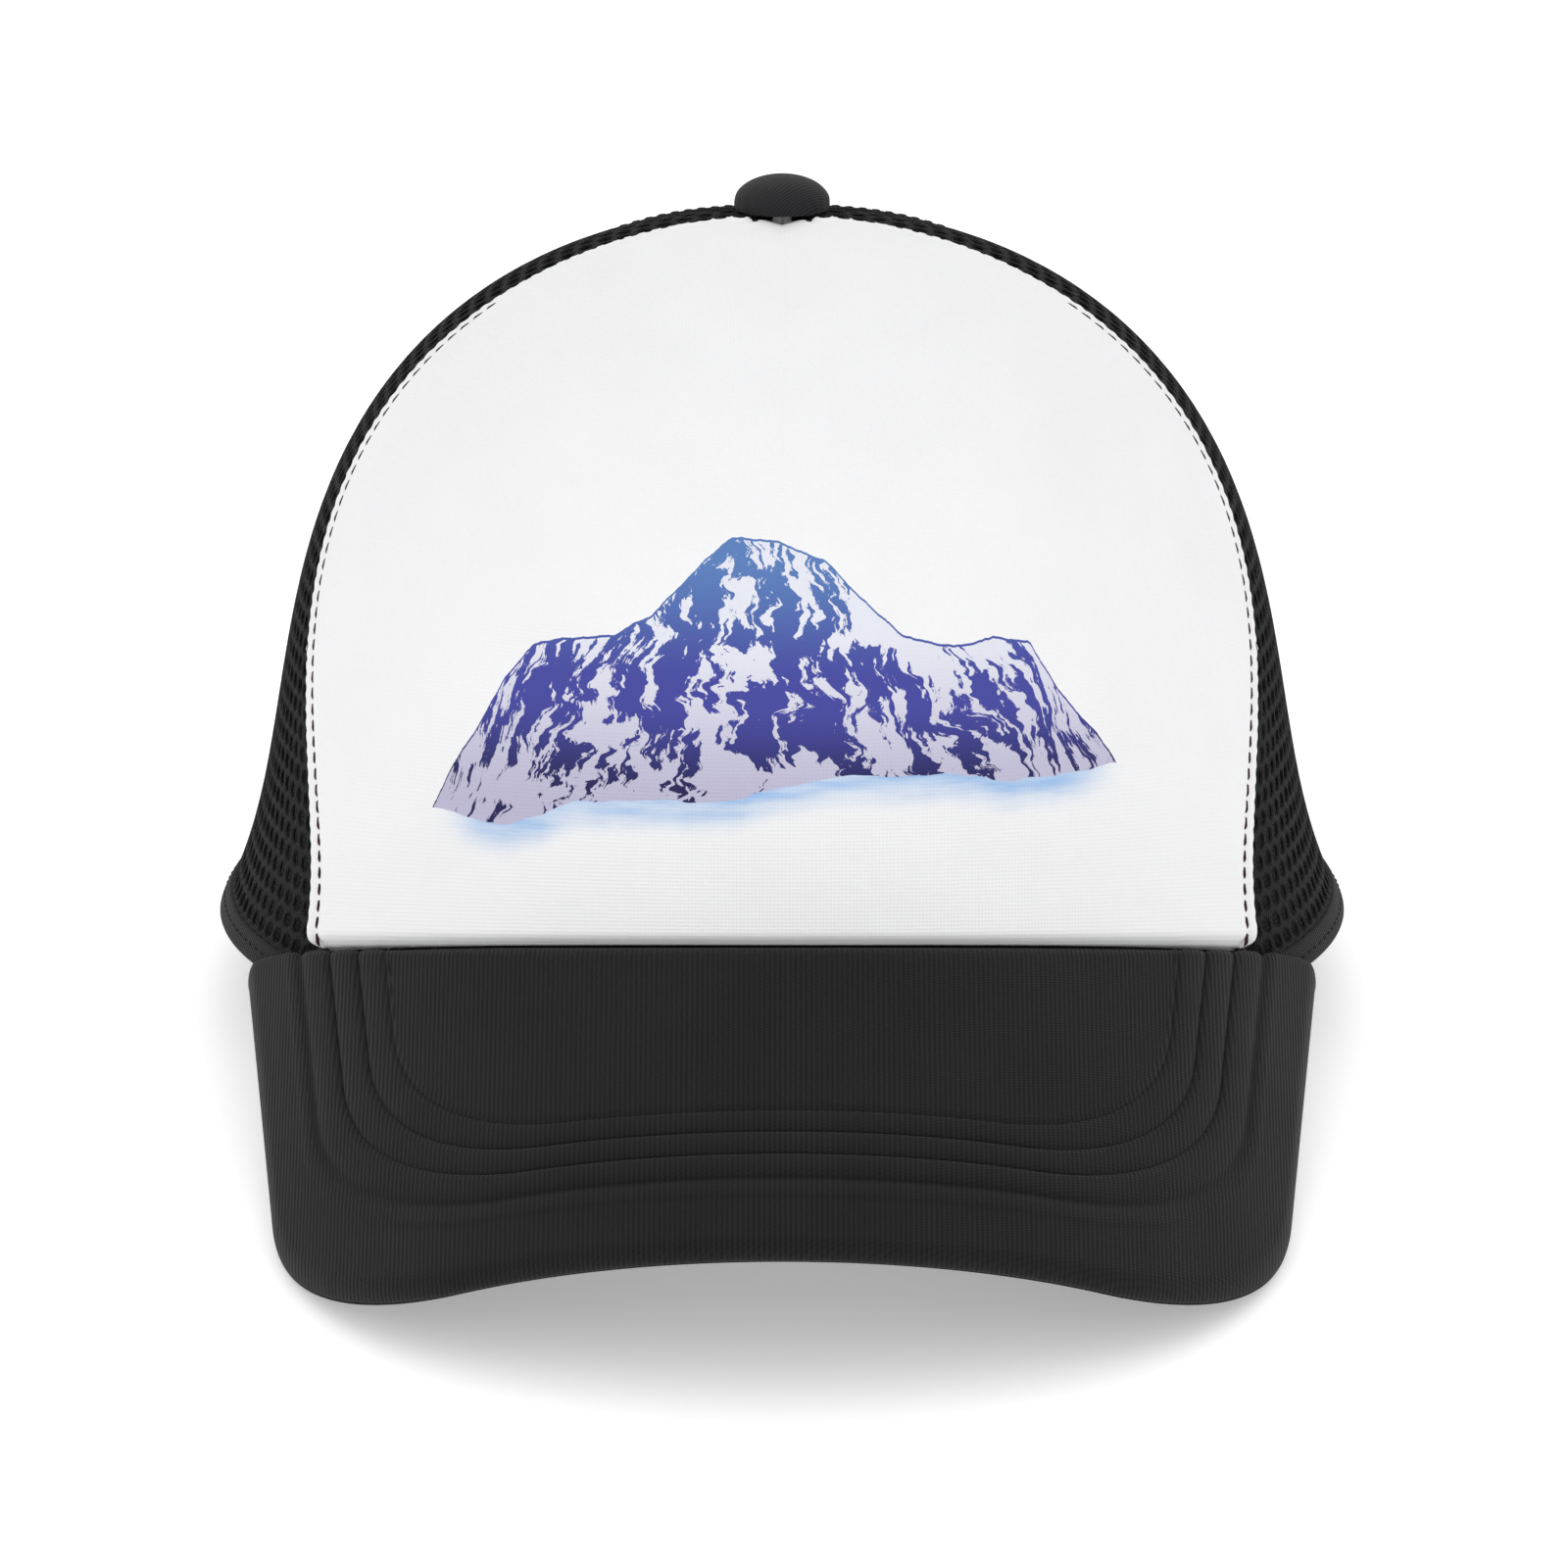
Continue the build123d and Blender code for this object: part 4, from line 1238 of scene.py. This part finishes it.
near_row = np.array([-1.3, -0.7, -0.35, 0, 0.35, 0.7, 1.3]) * MM / ROW_GAP
margin_steps = np.linspace(EDGE_RADIUS / ROW_FRONT_INSET[1], 0.85, 10)
steps = np.concatenate([margin_steps] + [row + near_row for row in (1, 2, 3, 4)])
top_lines, top_sinks, top_steps = brim_lines(np.radians(np.linspace(112, 0, 12)), np.sort(steps[1:]), 30)
x, ahead = top_lines[..., 0], top_lines[..., 1]
from_seam = ahead - brim_meets_crown(x)
row_groove = sum(np.exp(-((top_steps - row) * ROW_GAP / (0.5 * MM)) ** 2) for row in (1, 2, 3, 4))
row_puff = np.where((top_steps > 0.7) & (top_steps < 4.3), np.sin(np.pi * top_steps) ** 2, 0)
sink = top_sinks[:, None] + (0.55 * row_groove - 0.22 * row_puff)[:, None] * MM
sink = sink + 1.2 * MM * (1 - smooth(from_seam, 0, 3 * MM)) ** 2
sink = sink + 0.06 * MM * np.sin(x / (9 * MM)) * np.sin(ahead / (7 * MM))
top_points = brim_point(x, ahead, sink)
brim_top_uv = np.stack([BRIM_RADIUS * np.arcsin(np.clip(x / BRIM_RADIUS, -1, 1)), ahead], axis=-1)
brim_top = cloth_grid("brim_top", top_points[:, ::-1], brim_top_uv[:, ::-1], 0.7 * MM)
belongs(brim_top, brim_cloth, ["brim_top_cover"])

under_lines, under_sinks, _ = brim_lines(
    np.radians(np.linspace(118, 180, 7)), np.linspace(EDGE_RADIUS / ROW_FRONT_INSET[1], 4.2, 22)[1:], 24)
x, ahead = under_lines[..., 0], under_lines[..., 1]
under_points = brim_point(x, ahead, under_sinks[:, None] + 0 * x)
brim_under_uv = np.stack([BRIM_RADIUS * np.arcsin(np.clip(x / BRIM_RADIUS, -1, 1)), ahead], axis=-1)
brim_under = cloth_grid("brim_under", under_points, brim_under_uv, 0.7 * MM)
belongs(brim_under, brim_cloth, ["brim_under_cover"])
for cover in (brim_top, brim_under):
    print(cover.name, "triangles", len(cover.data.polygons) * 2)

# %% [markdown]
# ## Stitches
# A stitch is a short length of thread that rises from one needle hole and dives into the next.
# One stitch is modelled from a ball that is stretched into a capsule, and it is copied along
# every row of sewing with its ends bent down into the cloth.

# %% One stitch
deselect()
bpy.ops.mesh.primitive_uv_sphere_add(segments=8, ring_count=6, radius=1, location=(0, 0, 0))
stitch = bpy.context.object
bpy.ops.object.mode_set(mode="EDIT")
work = bmesh.from_edit_mesh(stitch.data)
for vertex in work.verts:
    vertex.select_set(vertex.co.z > 0.01)
work.select_flush(True)
bmesh.update_edit_mesh(stitch.data)
bpy.ops.transform.translate(value=(0, 0, 1))
bpy.ops.object.mode_set(mode="OBJECT")
stitch_points = np.array([vertex.co for vertex in stitch.data.vertices])
stitch_faces = [list(face.vertices) for face in stitch.data.polygons]
stitch_points[:, 2] -= 0.5
stitch_ends = np.abs(stitch_points[:, 2]).max()
bpy.data.objects.remove(stitch)
print("one stitch has", len(stitch_faces), "faces")

# %% [markdown]
# ## Laying the stitches
# Each row is walked from end to end in equal steps. One copy of the stitch is laid on each step
# and bent so that its ends go down into the cloth. The copies of one row become one piece.

# %% Rows of stitches


def values_at(places, run, values):
    """Vectors along a line, read at given places along it."""
    return np.stack([np.interp(places, run, values[:, i]) for i in range(3)], axis=1)


def sew(name, rows, length, gap, radius, material, dip=1.6):
    """Stitches along rows; each row is a line of points and the directions out of the cloth."""
    all_points, all_uv, count = [], [], 0
    for points, out in rows:
        run = run_along(points)
        number = int(run[-1] / (length + gap))
        starts = (np.arange(number) + 0.5 * gap / (length + gap)) * (run[-1] / number)
        ends = starts + length * run[-1] / number / (length + gap)
        centres = (starts + ends) / 2
        middle, up = values_at(centres, run, points), unit(values_at(centres, run, out))
        ahead = values_at(ends, run, points) - values_at(starts, run, points)
        sideways = unit(np.cross(ahead, up))
        along = stitch_points[:, 2] / stitch_ends
        bent = (middle[:, None] + ahead[:, None] * (along * 0.5)[None, :, None]
                + sideways[:, None] * (stitch_points[:, 0] * radius)[None, :, None]
                + up[:, None] * (stitch_points[:, 1] * radius - dip * radius * along**4)[None, :, None])
        all_points.append(bent.reshape(-1, 3))
        stitch_uv = np.column_stack([along * length / 2, stitch_points[:, 0] * radius])
        all_uv.append(np.tile(stitch_uv, (number, 1)))
        count += number
    faces = [[corner + i * len(stitch_points) for corner in face]
             for i in range(count) for face in stitch_faces]
    piece = new_mesh(name, stand(np.concatenate(all_points)), faces, np.concatenate(all_uv))
    face_outwards(piece)
    print(name, "stitches", count)
    return belongs(piece, material)


def brim_sewing(sink, trim):
    """The brim's four rows at a depth, left off where they reach the crown."""
    rows = []
    for step in (1, 2, 3, 4):
        line = brim_row(step)[trim:-trim]
        points = brim_point(line[:, 0], line[:, 1], sink)
        rows.append((points, brim_out(line[:, 0]) * (1 if sink < 2 * MM else -1)))
    return rows


sew("brim_stitches", brim_sewing(0.26 * MM, 3), 4.9 * MM, 0.9 * MM, 0.30 * MM, black_thread)
sew("brim_under_stitches", brim_sewing(BRIM_THICKNESS, 3), 4.9 * MM, 0.8 * MM, 0.25 * MM,
    black_thread)

# %% [markdown]
# ## The rest of the sewing
# A plum thread runs inside the panel's edge and turns in at its bottom corners. Black thread
# holds the felled seams, the hem and both edges of the binding.

# %% Panel and trim sewing
sewn_heights = np.interp(np.linspace(3.5 * MM, 0.72 * seam_run[-1], 700), seam_run, seam_samples)
sewn_inset = stitch_inset(np.interp(sewn_heights, seam_samples, seam_run))
SMALL_TURN = 0.01    # radians between two points when a slope is measured
corner_turn_in = 6.0 * MM * (1 - smooth(sewn_heights, 3 * MM, 13 * MM)) ** 2


def panel_sewing(mirror):
    """The row that runs inside one edge of the front panel and turns in at its bottom corner."""
    seam_turn = front_seam_turn(sewn_heights)
    seam = crown_skin(seam_turn, sewn_heights)
    sideways = crown_skin(seam_turn - SMALL_TURN, sewn_heights) - seam
    speed = np.linalg.norm(sideways, axis=1) / SMALL_TURN
    slope = np.gradient(seam, axis=0)
    square = np.linalg.norm(np.cross(unit(sideways), unit(slope)), axis=1)
    turn = seam_turn - (sewn_inset + corner_turn_in) / (speed * square)
    points = crown_point(turn * mirror, sewn_heights, 0.16 * MM)
    return points, crown_out(turn * mirror, sewn_heights)


sew("panel_stitches", [panel_sewing(1), panel_sewing(-1)], 2.4 * MM, 0.30 * MM, 0.33 * MM,
    plum_thread, dip=1.2)


def beside(line, offset, out_by):
    """A row of sewing beside a line on the crown."""
    turn, height = line
    points = crown_point(turn, height, out_by)
    out = crown_out(turn, height)
    return points + frames_along(points, out) * offset, out


SEAM_SEWING_ASIDE = 1.7 * MM           # from the middle of a felled seam to each row
ARCH_SEWING_ASIDE = 2.7 * MM           # from the middle of the binding to each row
arch_row = arch_points + arch_out * 1.12 * MM
trim_rows = []
for mirror in (1, -1):
    side = (side_line[0] * mirror, side_line[1])
    rim = (hem[0] * mirror, hem[1])
    trim_rows.append(beside(side, SEAM_SEWING_ASIDE, 0.12 * MM))
    trim_rows.append(beside(side, -SEAM_SEWING_ASIDE, 0.12 * MM))
    trim_rows.append(beside(rim, 0.3 * MM, 0.18 * MM))
    arch_aside = frames_along(arch_points, arch_out) * ARCH_SEWING_ASIDE * mirror
    trim_rows.append((arch_row + arch_aside, arch_out))
    trim_rows.append(beside((back_turn, back_height), SEAM_SEWING_ASIDE * mirror, 0.12 * MM))
sew("trim_stitches", trim_rows, 2.4 * MM, 0.6 * MM, 0.2 * MM, black_thread)

# %% [markdown]
# ## The button
# The button is a pressed metal cup covered in black twill and riveted through the crown. It is
# a ball that is flattened and cut level underneath. A short upright side is added there and
# turned in round its base, as the cloth is. The cup and rivet stay as the CAD model has them.

# %% Button cover
BUTTON_RADIUS, BUTTON_HEIGHT = 7.9 * MM, 5.5 * MM
BUTTON_SHOULDER = 0.2                  # share of its height where its side is upright
BUTTON_BASE = CROWN_HEIGHT + 0.1 * MM + BUTTON_SHOULDER * BUTTON_HEIGHT
PLEATS, PLEAT_DEPTH = 22, 0.012        # the depth is a share of the radius
TWILL_TURN = 0.75                      # radians that the twill is turned on the button
deselect()
bpy.ops.mesh.primitive_uv_sphere_add(segments=64, ring_count=40, radius=BUTTON_RADIUS, location=(0, 0, 0))
button = bpy.context.object
button.name = "button_cloth_cover"
bpy.ops.object.mode_set(mode="EDIT")
bpy.ops.mesh.select_all(action="SELECT")
bpy.ops.transform.resize(value=(1, 1, (1 - BUTTON_SHOULDER) * BUTTON_HEIGHT / BUTTON_RADIUS))
bpy.ops.mesh.bisect(plane_co=(0, 0, 0.02 * MM), plane_no=(0, 0, 1), clear_inner=True)
bpy.ops.mesh.extrude_edges_move()
bpy.ops.transform.translate(value=(0, 0, -0.95 * BUTTON_SHOULDER * BUTTON_HEIGHT))
for size in (0.97, 0.93, 0.9):
    bpy.ops.mesh.extrude_edges_move()
    bpy.ops.transform.resize(value=(size, size, 1), center_override=(0, 0, 0))
    bpy.ops.transform.translate(value=(0, 0, -0.02 * MM))
bpy.ops.object.mode_set(mode="OBJECT")
apply_modifier(button, "SOLIDIFY", thickness=0.5 * MM, offset=-1)
cover_points = np.array([vertex.co for vertex in button.data.vertices])
bearing = np.arctan2(cover_points[:, 1], cover_points[:, 0])
low = np.clip(1 - cover_points[:, 2] / (0.45 * BUTTON_HEIGHT), 0, 1)[:, None]
pleat = 1 + PLEAT_DEPTH * np.sin(bearing * PLEATS)[:, None] * low
cover_points[:, :2] *= pleat
from_middle = np.hypot(cover_points[:, 0], cover_points[:, 1])
slope_run = from_middle + np.maximum(0, 0.5 * BUTTON_HEIGHT - cover_points[:, 2])
turned = bearing + TWILL_TURN
cover_uv = np.stack([np.cos(turned) * slope_run, np.sin(turned) * slope_run], axis=1)
button.data.vertices.foreach_set("co", stand(cover_points + (0, 0, BUTTON_BASE)).astype(np.float32).ravel())
layer = button.data.uv_layers.new(name="cloth") if not button.data.uv_layers else button.data.uv_layers[0]
layer.name = "cloth"
corners = np.zeros(len(button.data.loops), np.int32)
button.data.loops.foreach_get("vertex_index", corners)
layer.data.foreach_set("uv", cover_uv[corners].astype(np.float32).ravel())
button.data.shade_smooth()
button.data.update()
belongs(button, button_twill, ["button_cover"])

# %% [markdown]
# ## The snap strap
# Two flat plastic straps close the arch: pegs on the inner one snap into holes in the outer one.
# Each bends where it leaves the cap. The straps and their sewn roots keep their CAD shape, and
# a thin web joins each root to its strap, so that the bend stays closed when the strap swings.

# %% Strap webs
STRAP_CURVE_MIDDLE = 8.07 * MM
HOLE_STRAP_RADIUS, PEG_STRAP_RADIUS = 84.7 * MM, 83.2 * MM
HINGE_ASIDE = 37.5 * MM
STRAP_LOW, STRAP_WIDTH = 2.5 * MM, 16 * MM
WEB_MARGIN = 0.25 * MM                 # left free along the strap's upper and lower edges
WEB_HALF_THICKNESS = 0.35 * MM


def strap_web(name, side, radius):
    """A thin strip across the bend line of one strap, from its root to the strap."""
    hinge = math.asin(HINGE_ASIDE / HOLE_STRAP_RADIUS)
    angles = side * (hinge + np.linspace(1.5, -0.7, 12) * MM / radius)
    levels = np.linspace(STRAP_LOW + WEB_MARGIN, STRAP_LOW + STRAP_WIDTH - WEB_MARGIN, 5)
    grids = []
    for depth in (WEB_HALF_THICKNESS, -WEB_HALF_THICKNESS):
        angle, level = np.meshgrid(angles, levels, indexing="ij")
        reach = radius + depth
        back = STRAP_CURVE_MIDDLE + reach * np.cos(angle)
        grids.append(np.stack([reach * np.sin(angle), back, level], axis=-1))
    uv = np.stack(np.meshgrid(angles * radius, levels, indexing="ij"), axis=-1)
    web = thick_grid(name, grids[0], grids[1], uv)
    belongs(web, strap_plastic)
    web.parent = None
    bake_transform(web)


strap_web("hole_strap_web", -1, HOLE_STRAP_RADIUS)
strap_web("peg_strap_web", 1, PEG_STRAP_RADIUS)

# %% [markdown]
# ## The hard pieces
# The straps, the button's metal and the brim board are already the real shape in the CAD model,
# so they only need their finishes.

# %% CAD pieces that stay
for node, material in (("hole_strap", strap_plastic), ("hole_strap_root", strap_plastic),
                       ("peg_strap", strap_plastic), ("peg_strap_root", strap_plastic),
                       ("button_shell", button_metal), ("button_rivet", button_metal),
                       ("brim_board", board_plastic)):
    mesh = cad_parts[node].data
    mesh.materials.clear()
    mesh.materials.append(material)

# %% [markdown]
# ## The table, the light and the camera
# The cap is shown as in a shop's catalogue: on a white table that runs back out of sight, in
# broad soft light with no hard shadow. A long lens from a little above keeps its shape true.

# %% Table
TABLE_WIDTH = 6
deselect()
bpy.ops.mesh.primitive_plane_add(size=TABLE_WIDTH, location=(0, 0, 0))
table = bpy.context.object
table.name = "table"
# The table's paint glows a little: painted light that lightens the shadow under the brim.
glowing_table_paint, tree, shader = new_finish(
    "glowing_table_paint", Roughness=0.75, Specular_IOR_Level=0.2, Emission_Color=(1, 1, 1, 1), Emission_Strength=0.3)
put(tree, shader.inputs["Base Color"],
    mix(tree, noise(tree, object_place(tree), 3.0), (0.93, 0.93, 0.93), (0.95, 0.95, 0.95)))
table.data.materials.append(glowing_table_paint)

# %% [markdown]
# ## The lights
# Four large lamps, a bright surround and the table's painted glow leave only a soft shadow.
# Small lamps would be simpler, but they would draw hard edges under the brim.

# %% Lights


def soft_light(name, place, aim, size, power):
    """A large square lamp that faces a point."""
    lamp = bpy.data.lights.new(name, "AREA")
    lamp.size, lamp.energy = size, power
    holder = bpy.data.objects.new(name, lamp)
    bpy.context.scene.collection.objects.link(holder)
    holder.location = place
    holder.rotation_mode = "QUATERNION"
    holder.rotation_quaternion = (Vector(aim) - Vector(place)).to_track_quat("-Z", "Y")
    return holder


MIDDLE = (0, -0.01, 0.07)
SURROUND_STRENGTH = 0.82
soft_light("overhead", (0.0, -0.25, 1.3), MIDDLE, 1.2, 3.0)
soft_light("front_left", (-1.0, -1.2, 0.8), MIDDLE, 0.9, 2.6)
soft_light("front_right", (1.1, -1.1, 0.7), MIDDLE, 0.9, 2.0)
soft_light("behind", (0.2, 1.2, 0.9), MIDDLE, 0.9, 1.5)
world = bpy.data.worlds.new("studio")
bpy.context.scene.world = world
world.use_nodes = True
world.node_tree.nodes["Background"].inputs[0].default_value = (1, 1, 1, 1)
world.node_tree.nodes["Background"].inputs[1].default_value = SURROUND_STRENGTH
bpy.context.scene.view_settings.view_transform = "Standard"

# %% [markdown]
# ## The camera
# The camera looks down a little at the middle of the cap, from far off with a long lens.

# %% Camera
CAMERA_HEIGHT_ANGLE = math.radians(24.83)
CAMERA_DISTANCE = 1.9
LENS_LENGTH, SENSOR_WIDTH = 260.8, 36    # both in millimetres
aim = Vector((0.33, -5.54, 40.41)) * MM
eye = aim + CAMERA_DISTANCE * Vector((0, -math.cos(CAMERA_HEIGHT_ANGLE), math.sin(CAMERA_HEIGHT_ANGLE)))
camera = bpy.data.objects.new("camera", bpy.data.cameras.new("camera"))
bpy.context.scene.collection.objects.link(camera)
camera.location = eye
camera.rotation_euler = (math.pi / 2 - CAMERA_HEIGHT_ANGLE, 0, 0)
camera.data.lens, camera.data.sensor_width = LENS_LENGTH, SENSOR_WIDTH
camera.data.clip_start, camera.data.clip_end = 0.05, 20
bpy.context.scene.camera = camera
